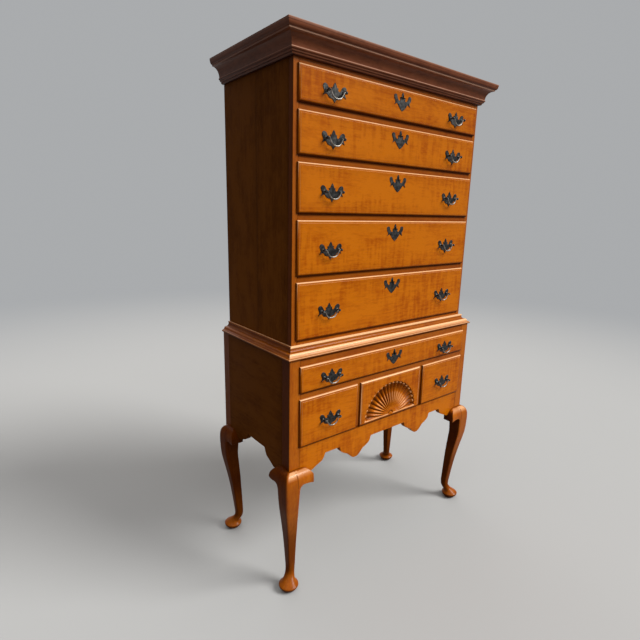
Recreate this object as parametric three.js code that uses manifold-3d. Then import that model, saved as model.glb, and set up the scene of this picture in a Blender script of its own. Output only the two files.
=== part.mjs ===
// A flat-top highboy: an upper case of five graduated drawers that stands on a lower case of four
// drawers and four cabriole legs. Millimetres; +X to the right as seen from the front, +Y from front
// to back, +Z up. The origin is on the floor, under the middle of the whole piece.

import * as THREE from "three";
import { mergeVertices } from "three/addons/utils/BufferGeometryUtils.js";
import Module from "manifold-3d";

const wasm = await Module();
wasm.setup();

// Fits
const JOINT_GAP = 0.3; // between two pieces that are joined or rest on each other
const SLIDE_GAP = 0.6; // under a drawer on its blade and runners
const DRAWER_PLAY = 1.5; // beside and above a drawer in its opening
const PIN_PLAY = 0.2; // round a bail's pin in its post and a post's shank in the drawer front
const OVERRUN = 1; // how far a cut or a join runs past a face

// Upper case
const UPPER_WIDTH = 900;
const UPPER_DEPTH = 427;
const UPPER_SIDE_THICKNESS = 20;
const UPPER_BACK_THICKNESS = 12;
const UPPER_LIP_HEIGHTS = [102, 126, 151, 174, 192]; // drawer fronts, top drawer first
const STILE_SHOW = 15; // stile seen beside a drawer front
const BLADE_SHOW = 20; // blade seen between two drawer fronts
const UPPER_RAIL_SHOW = 15; // rail seen under the cornice
const FOOT_RAIL_SHOW = 14.5; // rail seen over the waist moulding
const STILE_THICKNESS = 22;
const BLADE_DEPTH = 60;
const TOP_BOARD_THICKNESS = 14;
const TOP_BOARD_SINK = 7; // top board below the cornice's top edge

// Cornice and waist moulding
const CORNICE_HEIGHT = 75.5;
const CORNICE_REACH = 52;
const WAIST_HEIGHT = 38;
const WAIST_PROUD = 7; // beyond the lower case
const WAIST_PLAY = 0.5; // round the foot of the upper case
const BEAD_STEPS = 4; // flats of each round or hollow stretch of the profiles
const COVE_STEPS = 5;
const OVOLO_STEPS = 2;
const WAIST_STEPS = 3;
// Cornice profile: outward by CORNICE_REACH, height by CORNICE_HEIGHT
const CORNICE_SHARES = {
  foot: [0.08, 0.0],
  beadTop: [0.26, 0.13],
  filletFoot: [0.33, 0.15],
  filletTop: [0.36, 0.22],
  coveFoot: [0.33, 0.24],
  coveTop: [0.8, 0.68],
  stepTop: [0.82, 0.74],
  ovoloTop: [0.98, 0.9],
  top: [1.0, 1.0],
};
// Waist profile: outward by its whole reach at the front, height by WAIST_HEIGHT
const WAIST_SHARES = {
  top: [0.1, 1.0],
  bead: [0.17, 0.9],
  coveTop: [0.12, 0.8],
  coveFoot: [0.42, 0.52],
  ovoloTop: [0.48, 0.5],
  ovoloFoot: [0.86, 0.2],
  edgeTop: [0.97, 0.17],
  edgeFoot: [0.98, 0.0],
};

// Lower case
const LOWER_TOP = 864; // top of the lower case above the floor
const FRONT_STEP = 33; // lower case in front of the upper case
const SIDE_STEP = 28; // lower case beyond the upper case at each side
const POST_SHOW = 38; // leg post seen beside a drawer front
const LOWER_SIDE_THICKNESS = 20;
const LOWER_BACK_THICKNESS = 20;
const LOWER_BACK_FOOT = 500; // lower edge of the back board above the floor
const LOWER_RAIL_SHOW = 26; // rail seen under the waist moulding
const MID_RAIL_SHOW = 21;
const DIVIDER_SHOW = 16;
const LONG_LIP_HEIGHT = 93;
const ROW_LIP_HEIGHT = 173;
const CENTRE_LIP_WIDTH = 330;
const APRON_THICKNESS = 20;
const DIVIDER_DEPTH = 60;

// Scalloped edges
const CROWN_DROP = 58; // top of the front arches below the lowest drawer fronts
const SIDE_CROWN_DROP = 55; // the same of the side arches
const APRON_END_DROP = 105; // apron's lower edge at the legs, below the lowest drawer fronts
const DROP_PLACE = 174; // middle of a drop from the centre line
const DROP_REACH = 80; // half of a drop's width
const DROP_DEPTH = 65;
const FLANK_REACH = 60; // length of the slope from an outer arch to a leg
const KNEE_SPAN = 98; // from the case's corner to that slope's low end
// Across a drop from its tip to the arch beside it, and up from its tip to the crown
const DROP_SHARES = [
  [0.0, 0.0],
  [0.14, 0.03],
  [0.3, 0.17],
  [0.46, 0.37],
  [0.64, 0.48],
  [0.84, 0.62],
  [0.93, 0.76],
  [0.97, 0.93],
];
// Along a flank from its low end at the leg to the arch, and up to the crown
const FLANK_SHARES = [
  [0.0, 0.0],
  [0.26, 0.17],
  [0.52, 0.32],
  [0.74, 0.46],
  [0.88, 0.66],
  [0.93, 0.82],
];
const SCALLOP_STEPS = 2; // points of each outline stretch

// Runners
const RUNNER_THICKNESS = 18;
const RUNNER_WIDTH = 28;
const GUIDE_HEIGHT = 16;

// Legs
const KNEE_TOP = 474; // top of the knee above the floor
const KNEE_REACH = 29.4; // the knee's arris beyond the case's corner, in X and in Y
const KNEE_WIDTH = 54;
const REAR_TUCK = 24.4; // rear legs set in from the back
const FOOT_RADIUS = 35.5;
const FOOT_HEIGHT = 62;
const FOOT_INSET = 6.2; // foot's middle inside the case's corner, in X and in Y
const ANKLE_INSET = 25.5;
const LEAN_SHARE = 0.36; // height by FOOT_HEIGHT from which the leg leans in to its ankle
const POST_FOOT_SHARE = 0.88; // lower end of the post inside the knee, by KNEE_TOP
// From the floor up: height by KNEE_TOP, arris by KNEE_REACH, width by KNEE_WIDTH, squareness
const SHAFT_SHARES = [
  [0.172, -0.36, 0.56, 0.1],
  [0.245, -0.26, 0.575, 0.3],
  [0.325, -0.13, 0.615, 0.55],
  [0.41, 0.03, 0.675, 0.75],
  [0.49, 0.22, 0.755, 0.85],
  [0.57, 0.43, 0.83, 0.9],
  [0.65, 0.67, 0.92, 0.95],
  [0.73, 0.88, 1.0, 1.0],
  [0.81, 0.97, 1.08, 1.0],
  [0.88, 1.0, 1.13, 1.0],
  [0.925, 0.96, 1.13, 1.0],
  [0.955, 0.85, 1.1, 1.0],
  [0.98, 0.62, 1.02, 1.0],
  [0.99, 0.4, 0.95, 1.0],
  [0.997, 0.1, 0.85, 1.0],
];
// From the floor up: height by FOOT_HEIGHT, radius by FOOT_RADIUS
const FOOT_SHARES = [
  [0.0, 0.64],
  [0.06, 0.76],
  [0.2, 0.93],
  [0.3, 1.0],
  [0.36, 0.97],
  [0.43, 0.84],
  [0.51, 0.69],
  [0.6, 0.58],
  [0.72, 0.5],
  [1.0, 0.455],
];
const LEG_CORNER_SIDES = 3; // flats from one corner of a leg to the next
const LEG_SIDES = 4 * LEG_CORNER_SIDES;
const ROUND_CORNER_SHARE = 0.88; // a softened corner's reach by that of a sharp one

// Knee returns, the blocks beside a knee
const RETURN_THICKNESS = 20; // behind the case's face, under the apron
const RETURN_END = 85; // from the case's corner to a block's far end
const RETURN_DEPTH = 74; // height that the shares below follow
// Stations from the post to the far end: place by the block's length, top edge and lower edge below
// the knee's top by RETURN_DEPTH
const RETURN_SHARES = [
  [0.0, 0.0, 1.1],
  [0.1, 0.0, 0.85],
  [0.2, 0.0, 0.73],
  [0.37, 0.0, 0.67],
  [0.65, 0.04, 0.69],
  [0.84, 0.15, 0.72],
  [1.0, 0.33, 0.76],
];
const RETURN_SWELL_SHARE = 0.98; // the block's swell by the knee's reach
// Down the block's face: height from top edge to lower edge, and swell
const RETURN_FACE_SHARES = [
  [0.0, 0.0],
  [0.04, 0.22],
  [0.18, 0.64],
  [0.42, 0.88],
  [0.7, 1.0],
  [1.0, 0.94],
];

// Drawers
const LIP_OVERLAP = 5; // drawer front over the edge of its opening
const LIP_THICKNESS = 8;
const LIP_SEAT = 0.5; // between a shut drawer's lip and the case
const FRONT_BODY = 14; // drawer front inside its opening
const DRAWER_SIDE = 11;
const DRAWER_BACK = 11;
const DRAWER_BOTTOM = 7;
const BOTTOM_RISE = 8; // drawer bottom above the lower edge of the sides
const BACK_DROP = 6; // drawer back below the top of the sides
const BACK_ROOM = 16; // behind a shut drawer
const SIDE_DROP = 3; // drawer sides below the top of the front
// Thumbnail edge, from the face back: place by LIP_THICKNESS, inset by LIP_OVERLAP
const LIP_SHARES = [
  [1.0, 1.1],
  [0.9, 0.5],
  [0.62, 0.12],
  [0.25, 0.0],
];

// Carved fan on the centre drawer
const FAN_SIDE_MARGIN = 26; // from the fan to the edges of the drawer front
const FAN_TOP_MARGIN = 34;
const FAN_FOOT_MARGIN = 7;
const FAN_RAYS = 19;
const FAN_DEPTH = 6.5;
const FAN_RIDGE_SHARE = 0.42; // depth over a ray by that between two rays
const FAN_RING_SHARES = [
  [0.17, 0.25],
  [0.45, 0.8],
  [0.8, 1.0],
  [0.96, 0.9],
  [1.0, 0.0],
];

// Pulls: a back plate, two posts, a bail
const PLATE_HALF_WIDTH = 47;
const PLATE_RISE = 27; // plate's top over the posts' line
const PLATE_FALL = 30; // plate's lower tip under the posts' line
const PLATE_THICKNESS = 1.6;
const POST_SPACING = 68;
const POST_REACH = 19; // post in front of the plate
const POST_HEAD_RADIUS = 5;
const POST_NECK_RADIUS = 3.2;
const POST_BASE_RADIUS = 7;
const PIVOT_REACH = 13.5; // pins in front of the plate
const SHANK_RADIUS = 2.2;
const NUT_RADIUS = 5.5;
const NUT_THICKNESS = 3.5;
const POST_SIDES = 6;
const BAIL_DROP = 22;
const BAIL_RADIUS = 2.3;
const PIN_RADIUS = 1.5;
const PIN_DEPTH = 3; // pin inside the post
const BAIL_SIDES = 6;
const PULL_INSET = 133; // a pull's middle from the end of its drawer front, upper case
const LOWER_PULL_INSET = 131; // the same on the lower case's long drawer
const PULL_SINK = 7; // pulls below the middle of a drawer front
// Outline of the right half of a plate, by PLATE_HALF_WIDTH and by PLATE_RISE over the posts' line
const PLATE_TOP_SHARES = [
  [0.0, 1.0],
  [0.13, 0.62],
  [0.22, 0.22],
  [0.38, 0.12],
  [0.5, 0.3],
  [0.66, 0.5],
  [0.86, 0.58],
  [1.0, 0.28],
];
// The lower half, by PLATE_HALF_WIDTH and by PLATE_FALL
const PLATE_LOW_SHARES = [
  [0.94, -0.16],
  [0.97, -0.5],
  [0.72, -0.36],
  [0.54, -0.62],
  [0.28, -0.64],
  [0.0, -1.0],
];
// Post from its base to its tip: place by POST_REACH, radius by POST_HEAD_RADIUS
const POST_HEAD_SHARES = [
  [0.46, 0.64],
  [0.6, 1.0],
  [0.84, 1.0],
];
// Bail from its pin to its middle: place by half the span between the posts, drop by BAIL_DROP,
// radius from the pin's to the bail's
const BAIL_SHARES = [
  [0.93, 0.0, 0.3],
  [0.83, 0.16, 0.5],
  [0.72, 0.46, 0.6],
  [0.52, 0.78, 0.85],
  [0.27, 0.96, 1.0],
  [0.0, 1.0, 1.0],
];

// Derived places
const UPPER_HALF = UPPER_WIDTH / 2;
const LOWER_HALF = UPPER_HALF + SIDE_STEP;
const POST_SQUARE = POST_SHOW + LIP_OVERLAP;
const STILE_WIDTH = STILE_SHOW + LIP_OVERLAP;
const LOWER_DEPTH = UPPER_DEPTH + FRONT_STEP;
// From a pull's middle to the inner flat of a post's head
const POST_MOUTH = POST_SPACING / 2 - POST_HEAD_RADIUS * Math.cos(Math.PI / POST_SIDES);
const BAIL_FRONT = LIP_THICKNESS + LIP_SEAT + PLATE_THICKNESS + POST_REACH + JOINT_GAP;
const LEG_FRONT = Math.max(KNEE_REACH, FOOT_RADIUS - FOOT_INSET);
const REACH_FRONT = Math.max(LEG_FRONT, BAIL_FRONT) + FRONT_STEP;
const LEG_BACK = LEG_FRONT - REAR_TUCK;
const REACH_BACK = UPPER_DEPTH + Math.max(LEG_BACK, 0);
// Planes across the depth, from the middle of the whole piece
const UPPER_FRONT = (REACH_FRONT - REACH_BACK) / 2;
const LOWER_FRONT = UPPER_FRONT - FRONT_STEP;
const CASE_BACK = UPPER_FRONT + UPPER_DEPTH;
// Heights above the floor
const WAIST_TOP = LOWER_TOP + WAIST_HEIGHT;
const UPPER_FOOT = LOWER_TOP + JOINT_GAP;
const ROW_LIP_FOOT =
  LOWER_TOP - LOWER_RAIL_SHOW - LONG_LIP_HEIGHT - MID_RAIL_SHOW - ROW_LIP_HEIGHT;
const LONG_LIP_FOOT = ROW_LIP_FOOT + ROW_LIP_HEIGHT + MID_RAIL_SHOW;
const APRON_END = ROW_LIP_FOOT - APRON_END_DROP;
const FRONT_CROWN = ROW_LIP_FOOT - CROWN_DROP;
const SIDE_CROWN = ROW_LIP_FOOT - SIDE_CROWN_DROP;
const UPPER_LIP_STACK = UPPER_LIP_HEIGHTS.reduce((sum, height) => sum + height, 0);
const BLADE_COUNT = UPPER_LIP_HEIGHTS.length - 1;
const UPPER_LIPS_TOP = WAIST_TOP + FOOT_RAIL_SHOW + UPPER_LIP_STACK + BLADE_COUNT * BLADE_SHOW;
const CORNICE_FOOT = UPPER_LIPS_TOP + UPPER_RAIL_SHOW;
const TOTAL_HEIGHT = CORNICE_FOOT + CORNICE_HEIGHT;
const TOP_BOARD_TOP = TOTAL_HEIGHT - TOP_BOARD_SINK;
const UPPER_CASE_TOP = TOP_BOARD_TOP - TOP_BOARD_THICKNESS - JOINT_GAP;

// Materials
const maple = new THREE.MeshStandardMaterial({ color: 0xb8702a, roughness: 0.35 });
const mapleDark = new THREE.MeshStandardMaterial({ color: 0x7a4420, roughness: 0.4 });
const pine = new THREE.MeshStandardMaterial({ color: 0xc9a26b, roughness: 0.7 });
const brass = new THREE.MeshStandardMaterial({ color: 0x4a4438, roughness: 0.4, metalness: 1 });

// A closed three.js geometry as a solid that can be joined and cut.
function solid(geometry) {
  const bare = geometry.index ? geometry.toNonIndexed() : geometry.clone();
  bare.deleteAttribute("normal");
  bare.deleteAttribute("uv");
  const merged = mergeVertices(bare);
  const mesh = {
    numProp: 3,
    vertProperties: merged.attributes.position.array,
    triVerts: new Uint32Array(merged.index.array),
  };
  return new wasm.Manifold(new wasm.Mesh(mesh));
}

// A solid as a named mesh at a place in its parent.
function addMesh(parent, name, body, material, place = [0, 0, 0]) {
  const data = body.getMesh();
  const positions = new Float32Array(data.numVert * 3);
  for (let i = 0; i < data.numVert; i++) {
    positions.set(data.vertProperties.subarray(i * data.numProp, i * data.numProp + 3), i * 3);
  }
  const geometry = new THREE.BufferGeometry();
  geometry.setAttribute("position", new THREE.BufferAttribute(positions, 3));
  geometry.setIndex(new THREE.BufferAttribute(data.triVerts, 1));
  geometry.computeVertexNormals();
  const mesh = new THREE.Mesh(geometry, material);
  mesh.name = name;
  mesh.position.set(...place);
  parent.add(mesh);
  return mesh;
}

// A board between two corners.
function board(x0, x1, y0, y1, z0, z1) {
  const geometry = new THREE.BoxGeometry(x1 - x0, y1 - y0, z1 - z0);
  geometry.translate((x0 + x1) / 2, (y0 + y1) / 2, (z0 + z1) / 2);
  return solid(geometry);
}

function joined(bodies) {
  return bodies.reduce((sum, body) => sum.add(body));
}

// An outline in X and Z, extruded along Y from y0 to y1.
function frontPrism(shape, y0, y1) {
  const geometry = new THREE.ExtrudeGeometry(shape, { depth: y1 - y0, bevelEnabled: false });
  geometry.rotateX(Math.PI / 2);
  geometry.translate(0, y1, 0);
  return solid(geometry);
}

// An outline in Y and Z, extruded along X from x0 to x1.
function sidePrism(shape, x0, x1) {
  const geometry = new THREE.ExtrudeGeometry(shape, { depth: x1 - x0, bevelEnabled: false });
  geometry.rotateX(Math.PI / 2);
  geometry.rotateZ(Math.PI / 2);
  geometry.translate(x0, 0, 0);
  return solid(geometry);
}

// The triangles of a flat ring of points, wound as the ring is.
function capOf(ring) {
  const spans = [0, 1, 2].map((k) => {
    const values = ring.map((point) => point[k]);
    return Math.max(...values) - Math.min(...values);
  });
  const flat = spans.indexOf(Math.min(...spans));
  const [u, v] = [0, 1, 2].filter((k) => k !== flat);
  const contour = ring.map((point) => new THREE.Vector2(point[u], point[v]));
  const turn = Math.sign(THREE.ShapeUtils.area(contour));
  return THREE.ShapeUtils.triangulateShape(contour, []).map(([a, b, c]) => {
    const own = Math.sign(THREE.ShapeUtils.area([contour[a], contour[b], contour[c]]));
    return own === turn ? [a, b, c] : [a, c, b];
  });
}

// A closed body through rings of points, each ring with as many points as the first.
function loft(rings) {
  const count = rings[0].length;
  const last = (rings.length - 1) * count;
  const faces = [];
  for (let r = 0; r < rings.length - 1; r++) {
    for (let i = 0; i < count; i++) {
      const j = (i + 1) % count;
      const a = r * count;
      const b = a + count;
      faces.push([a + i, a + j, b + j], [a + i, b + j, b + i]);
    }
  }
  capOf(rings[0]).forEach(([a, b, c]) => faces.push([a, c, b]));
  capOf(rings[rings.length - 1]).forEach(([a, b, c]) => faces.push([last + a, last + b, last + c]));
  const build = (list) => {
    const geometry = new THREE.BufferGeometry();
    geometry.setAttribute("position", new THREE.Float32BufferAttribute(rings.flat(2), 3));
    geometry.setIndex(list.flat());
    return solid(geometry);
  };
  const body = build(faces);
  return body.volume() > 0 ? body : build(faces.map(([a, b, c]) => [a, c, b]));
}

// A moulding that runs up the left side, across the front and back along the right side, mitred at
// the corners. The profile is a closed outline of [outward, height] points, its inner face first;
// outward is measured from a case of the given half width whose front is at frontY. The front length
// is deeper than the side lengths by frontExtra.
function mitredMoulding(profile, halfWidth, frontY, backY, frontExtra = 0) {
  const inner = profile[0][0];
  const ring = (x, y, sideways, forwards) =>
    profile.map(([out, height]) => {
      const extra = out > inner ? frontExtra : 0;
      return [x + sideways * out, y - forwards * (out + extra), height];
    });
  return loft([
    ring(-halfWidth, backY, -1, 0),
    ring(-halfWidth, frontY, -1, 1),
    ring(halfWidth, frontY, 1, 1),
    ring(halfWidth, backY, 1, 0),
  ]);
}

// Points of a quarter curve between two corners, hollow or round.
function quarter(from, to, bulge, steps) {
  const corner = bulge ? [to[0], from[1]] : [from[0], to[1]];
  const start = new THREE.Vector2(...from);
  const end = new THREE.Vector2(...to);
  const curve = new THREE.QuadraticBezierCurve(start, new THREE.Vector2(...corner), end);
  return curve.getPoints(steps).map((point) => [point.x, point.y]);
}

const highboy = new THREE.Group();
const lowerCase = new THREE.Group();
const upperCase = new THREE.Group();
highboy.add(lowerCase, upperCase);

// Cornice: the mitred moulding and the top board between its three lengths.
function cornice() {
  const at = (name) => {
    const [out, rise] = CORNICE_SHARES[name];
    return [out * CORNICE_REACH, CORNICE_FOOT + rise * CORNICE_HEIGHT];
  };
  const profile = [
    [JOINT_GAP, CORNICE_FOOT],
    ...quarter(at("foot"), at("beadTop"), true, BEAD_STEPS),
    at("filletFoot"),
    at("filletTop"),
    ...quarter(at("coveFoot"), at("coveTop"), false, COVE_STEPS),
    at("stepTop"),
    ...quarter(at("stepTop"), at("ovoloTop"), true, OVOLO_STEPS).slice(1),
    at("top"),
    [JOINT_GAP, TOTAL_HEIGHT],
  ];
  const ring = mitredMoulding(profile, UPPER_HALF, UPPER_FRONT, CASE_BACK);
  const half = UPPER_HALF + OVERRUN;
  const foot = TOP_BOARD_TOP - TOP_BOARD_THICKNESS;
  return ring.add(board(-half, half, UPPER_FRONT - OVERRUN, CASE_BACK, foot, TOP_BOARD_TOP));
}

// Waist moulding, with the lower case's top rail that it is fixed to.
function waistMoulding() {
  const reach = SIDE_STEP + WAIST_PROUD;
  const at = (name) => {
    const [out, rise] = WAIST_SHARES[name];
    return [out * reach, LOWER_TOP + rise * WAIST_HEIGHT];
  };
  const profile = [
    [WAIST_PLAY, LOWER_TOP],
    at("edgeFoot"),
    at("edgeTop"),
    ...quarter(at("ovoloFoot"), at("ovoloTop"), true, WAIST_STEPS),
    ...quarter(at("coveFoot"), at("coveTop"), false, WAIST_STEPS),
    at("bead"),
    at("top"),
    [WAIST_PLAY, WAIST_TOP],
  ];
  const deeper = FRONT_STEP - SIDE_STEP;
  const ring = mitredMoulding(profile, UPPER_HALF, UPPER_FRONT, CASE_BACK, deeper);
  const half = LOWER_HALF - POST_SQUARE - JOINT_GAP;
  const railFoot = LONG_LIP_FOOT + LONG_LIP_HEIGHT - LIP_OVERLAP;
  const rail = board(-half, half, LOWER_FRONT, LOWER_FRONT + BLADE_DEPTH, railFoot, LOWER_TOP);
  return ring.add(rail);
}

// Upper case
function upperSide(side) {
  const inner = UPPER_HALF - UPPER_SIDE_THICKNESS;
  const front = UPPER_FRONT + STILE_THICKNESS + JOINT_GAP;
  const parts = [board(inner, UPPER_HALF, front, CASE_BACK, UPPER_FOOT, UPPER_CASE_TOP)];
  // Runners under each drawer but the lowest, which runs on the bottom board.
  const end = CASE_BACK - UPPER_BACK_THICKNESS - BACK_ROOM;
  const start = UPPER_FRONT + BLADE_DEPTH + JOINT_GAP;
  upperLipFeet().slice(0, BLADE_COUNT).forEach((foot) => {
    const top = foot + LIP_OVERLAP;
    parts.push(board(inner - RUNNER_WIDTH, inner + OVERRUN, start, end, top - RUNNER_THICKNESS, top));
  });
  const body = joined(parts);
  return side > 0 ? body : body.mirror([1, 0, 0]);
}

function upperBack() {
  const half = UPPER_HALF - UPPER_SIDE_THICKNESS - JOINT_GAP;
  return board(-half, half, CASE_BACK - UPPER_BACK_THICKNESS, CASE_BACK, UPPER_FOOT, UPPER_CASE_TOP);
}

// Heights of the lower edges of the upper drawer fronts, top drawer first.
function upperLipFeet() {
  let top = UPPER_LIPS_TOP;
  return UPPER_LIP_HEIGHTS.map((height) => {
    const foot = top - height;
    top = foot - BLADE_SHOW;
    return foot;
  });
}

function upperFaceFrame() {
  const open = UPPER_HALF - STILE_WIDTH;
  const back = UPPER_FRONT + STILE_THICKNESS;
  const deep = UPPER_FRONT + BLADE_DEPTH;
  const feet = upperLipFeet();
  const stile = board(open, UPPER_HALF, UPPER_FRONT, back, UPPER_FOOT, UPPER_CASE_TOP);
  const bladeHalf = UPPER_HALF - UPPER_SIDE_THICKNESS - JOINT_GAP;
  const rails = [];
  const addRail = (foot, top, end) => {
    rails.push(board(-open - OVERRUN, open + OVERRUN, UPPER_FRONT, back, foot, top));
    rails.push(board(-bladeHalf, bladeHalf, back - OVERRUN, end, foot, top));
  };
  addRail(UPPER_LIPS_TOP - LIP_OVERLAP, UPPER_CASE_TOP, deep);
  feet.slice(0, BLADE_COUNT).forEach((foot) => {
    addRail(foot - BLADE_SHOW - LIP_OVERLAP, foot + LIP_OVERLAP, deep);
  });
  const bottomTop = feet[BLADE_COUNT] + LIP_OVERLAP;
  rails.push(board(-open - OVERRUN, open + OVERRUN, UPPER_FRONT, back, UPPER_FOOT, bottomTop));
  // The bottom board carries the lowest drawer and runs back to the back boards.
  const boardEnd = CASE_BACK - UPPER_BACK_THICKNESS - JOINT_GAP;
  const boardFoot = bottomTop - RUNNER_THICKNESS;
  rails.push(board(-bladeHalf, bladeHalf, back - OVERRUN, boardEnd, boardFoot, bottomTop));
  return joined([stile, stile.mirror([1, 0, 0]), ...rails]);
}

addMesh(upperCase, "cornice", cornice(), mapleDark);
addMesh(upperCase, "upper_side_left", upperSide(-1), maple);
addMesh(upperCase, "upper_side_right", upperSide(1), maple);
addMesh(upperCase, "upper_back", upperBack(), pine);
addMesh(upperCase, "upper_face_frame", upperFaceFrame(), maple);

// The rising edge from a leg to an outer arch: points from the low end at `from` to the arch.
function flank(from, towards, low, high) {
  return FLANK_SHARES.map(([along, up]) => [
    from + towards * along * FLANK_REACH,
    low + up * (high - low),
  ]);
}

// A smooth outline stretch through points.
function through(points) {
  const curve = new THREE.SplineCurve(points.map(([x, z]) => new THREE.Vector2(x, z)));
  return curve.getPoints(SCALLOP_STEPS * (points.length - 1)).map((point) => [point.x, point.y]);
}

function outline(points) {
  return new THREE.Shape(points.map(([x, z]) => new THREE.Vector2(x, z)));
}

// Right half of the front apron's lower edge, from the centre line to the post.
function apronEdge() {
  const tip = FRONT_CROWN - DROP_DEPTH;
  const drop = (towards) =>
    DROP_SHARES.map(([along, up]) => [
      DROP_PLACE + towards * along * DROP_REACH,
      tip + up * DROP_DEPTH,
    ]);
  const inward = drop(-1).reverse();
  const outward = drop(1).slice(1);
  const flankFoot = LOWER_HALF - KNEE_SPAN;
  const flankTop = flankFoot - FLANK_REACH;
  return [
    [DROP_PLACE - DROP_REACH, FRONT_CROWN],
    ...through([...inward, ...outward]),
    [DROP_PLACE + DROP_REACH, FRONT_CROWN],
    [flankTop, FRONT_CROWN],
    ...through(flank(flankFoot, -1, APRON_END, FRONT_CROWN).reverse()),
    [LOWER_HALF - POST_SQUARE - JOINT_GAP, APRON_END],
  ];
}

// Apron, mid rail, the two uprights between the bottom drawers, and their runners.
function lowerFrontFrame() {
  const half = LOWER_HALF - POST_SQUARE - JOINT_GAP;
  const rowOpenFoot = ROW_LIP_FOOT + LIP_OVERLAP;
  const rowOpenTop = ROW_LIP_FOOT + ROW_LIP_HEIGHT - LIP_OVERLAP;
  const edge = apronEdge();
  const mirrored = edge.map(([x, z]) => [-x, z]).reverse();
  const face = outline([...mirrored, ...edge, [half, rowOpenFoot], [-half, rowOpenFoot]]);
  const apron = frontPrism(face, LOWER_FRONT, LOWER_FRONT + APRON_THICKNESS);
  const railTop = LONG_LIP_FOOT + LIP_OVERLAP;
  const rail = board(-half, half, LOWER_FRONT, LOWER_FRONT + BLADE_DEPTH, rowOpenTop, railTop);
  const parts = [apron, rail];
  const inner = CENTRE_LIP_WIDTH / 2 - LIP_OVERLAP;
  const outer = inner + DIVIDER_SHOW + 2 * LIP_OVERLAP;
  const end = CASE_BACK - LOWER_BACK_THICKNESS - JOINT_GAP;
  [-1, 1].forEach((side) => {
    const [x0, x1] = side > 0 ? [inner, outer] : [-outer, -inner];
    const deep = LOWER_FRONT + DIVIDER_DEPTH;
    parts.push(
      board(x0, x1, LOWER_FRONT, deep, rowOpenFoot - OVERRUN, rowOpenTop + OVERRUN),
      board(
        x0 - RUNNER_WIDTH / 2,
        x1 + RUNNER_WIDTH / 2,
        LOWER_FRONT + APRON_THICKNESS - OVERRUN,
        end,
        rowOpenFoot - RUNNER_THICKNESS,
        rowOpenFoot,
      ),
      board(x0, x1, deep - OVERRUN, end, rowOpenFoot - OVERRUN, rowOpenFoot + GUIDE_HEIGHT),
    );
  });
  return joined(parts);
}

// A side board between the posts, with its scalloped edge and runners.
function lowerSide(side) {
  const front = LOWER_FRONT + POST_SQUARE + JOINT_GAP;
  const back = CASE_BACK - POST_SQUARE - JOINT_GAP;
  const frontFoot = LOWER_FRONT + KNEE_SPAN;
  const backFoot = CASE_BACK - REAR_TUCK - KNEE_SPAN;
  const shape = outline([
    [front, APRON_END],
    ...through(flank(frontFoot, 1, APRON_END, SIDE_CROWN)),
    [frontFoot + FLANK_REACH, SIDE_CROWN],
    [backFoot - FLANK_REACH, SIDE_CROWN],
    ...through(flank(backFoot, -1, APRON_END, SIDE_CROWN)).reverse(),
    [back, APRON_END],
    [back, LOWER_TOP - JOINT_GAP],
    [front, LOWER_TOP - JOINT_GAP],
  ]);
  const inner = LOWER_HALF - LOWER_SIDE_THICKNESS;
  const parts = [sidePrism(shape, inner, LOWER_HALF)];
  const runnerInner = LOWER_HALF - POST_SQUARE - RUNNER_WIDTH;
  const runnerStart = LOWER_FRONT + BLADE_DEPTH + JOINT_GAP;
  [ROW_LIP_FOOT + LIP_OVERLAP, LONG_LIP_FOOT + LIP_OVERLAP].forEach((top) => {
    const runnerFoot = top - RUNNER_THICKNESS;
    parts.push(board(runnerInner, inner + OVERRUN, runnerStart, back, runnerFoot, top));
    // The guide keeps the drawer from slipping sideways off its runner.
    const guideInner = LOWER_HALF - POST_SQUARE;
    const guideTop = top + GUIDE_HEIGHT;
    parts.push(board(guideInner, inner + OVERRUN, front, back, top - OVERRUN, guideTop));
  });
  const body = joined(parts);
  return side > 0 ? body : body.mirror([1, 0, 0]);
}

function lowerBack() {
  const half = LOWER_HALF - POST_SQUARE - JOINT_GAP;
  const front = CASE_BACK - LOWER_BACK_THICKNESS;
  return board(-half, half, front, CASE_BACK, LOWER_BACK_FOOT, LOWER_TOP - JOINT_GAP);
}

// One level ring of a leg round [x, y]. Its first corner points outwards from the case and stays
// sharp; the other three are softened. Squareness 0 is round.
function legRing(x, y, halfWidth, squareness, height) {
  const points = [];
  for (let i = 0; i < LEG_SIDES; i++) {
    const angle = Math.PI / 4 + (i * 2 * Math.PI) / LEG_SIDES;
    const square = 1 / Math.max(Math.abs(Math.cos(angle)), Math.abs(Math.sin(angle)));
    const corner = i % LEG_CORNER_SIDES === 0 && i > 0 ? ROUND_CORNER_SHARE : 1;
    const radius = halfWidth * (1 + squareness * (square * corner - 1));
    points.push([x + radius * Math.cos(angle), y + radius * Math.sin(angle), height]);
  }
  return points;
}

// The cabriole leg under a case corner at [0, 0], knee outwards along +X and +Y.
function cabriole() {
  const rings = FOOT_SHARES.map(([up, wide]) => {
    const blend = Math.max(0, (up - LEAN_SHARE) / (1 - LEAN_SHARE));
    const ease = blend * blend * (3 - 2 * blend);
    const inset = FOOT_INSET + ease * (ANKLE_INSET - FOOT_INSET);
    return legRing(-inset, -inset, wide * FOOT_RADIUS, 0, up * FOOT_HEIGHT);
  });
  SHAFT_SHARES.forEach(([up, out, wide, squareness]) => {
    const half = (wide * KNEE_WIDTH) / 2;
    const middle = out * KNEE_REACH - half;
    rings.push(legRing(middle, middle, half, squareness, up * KNEE_TOP));
  });
  return loft(rings);
}

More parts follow.
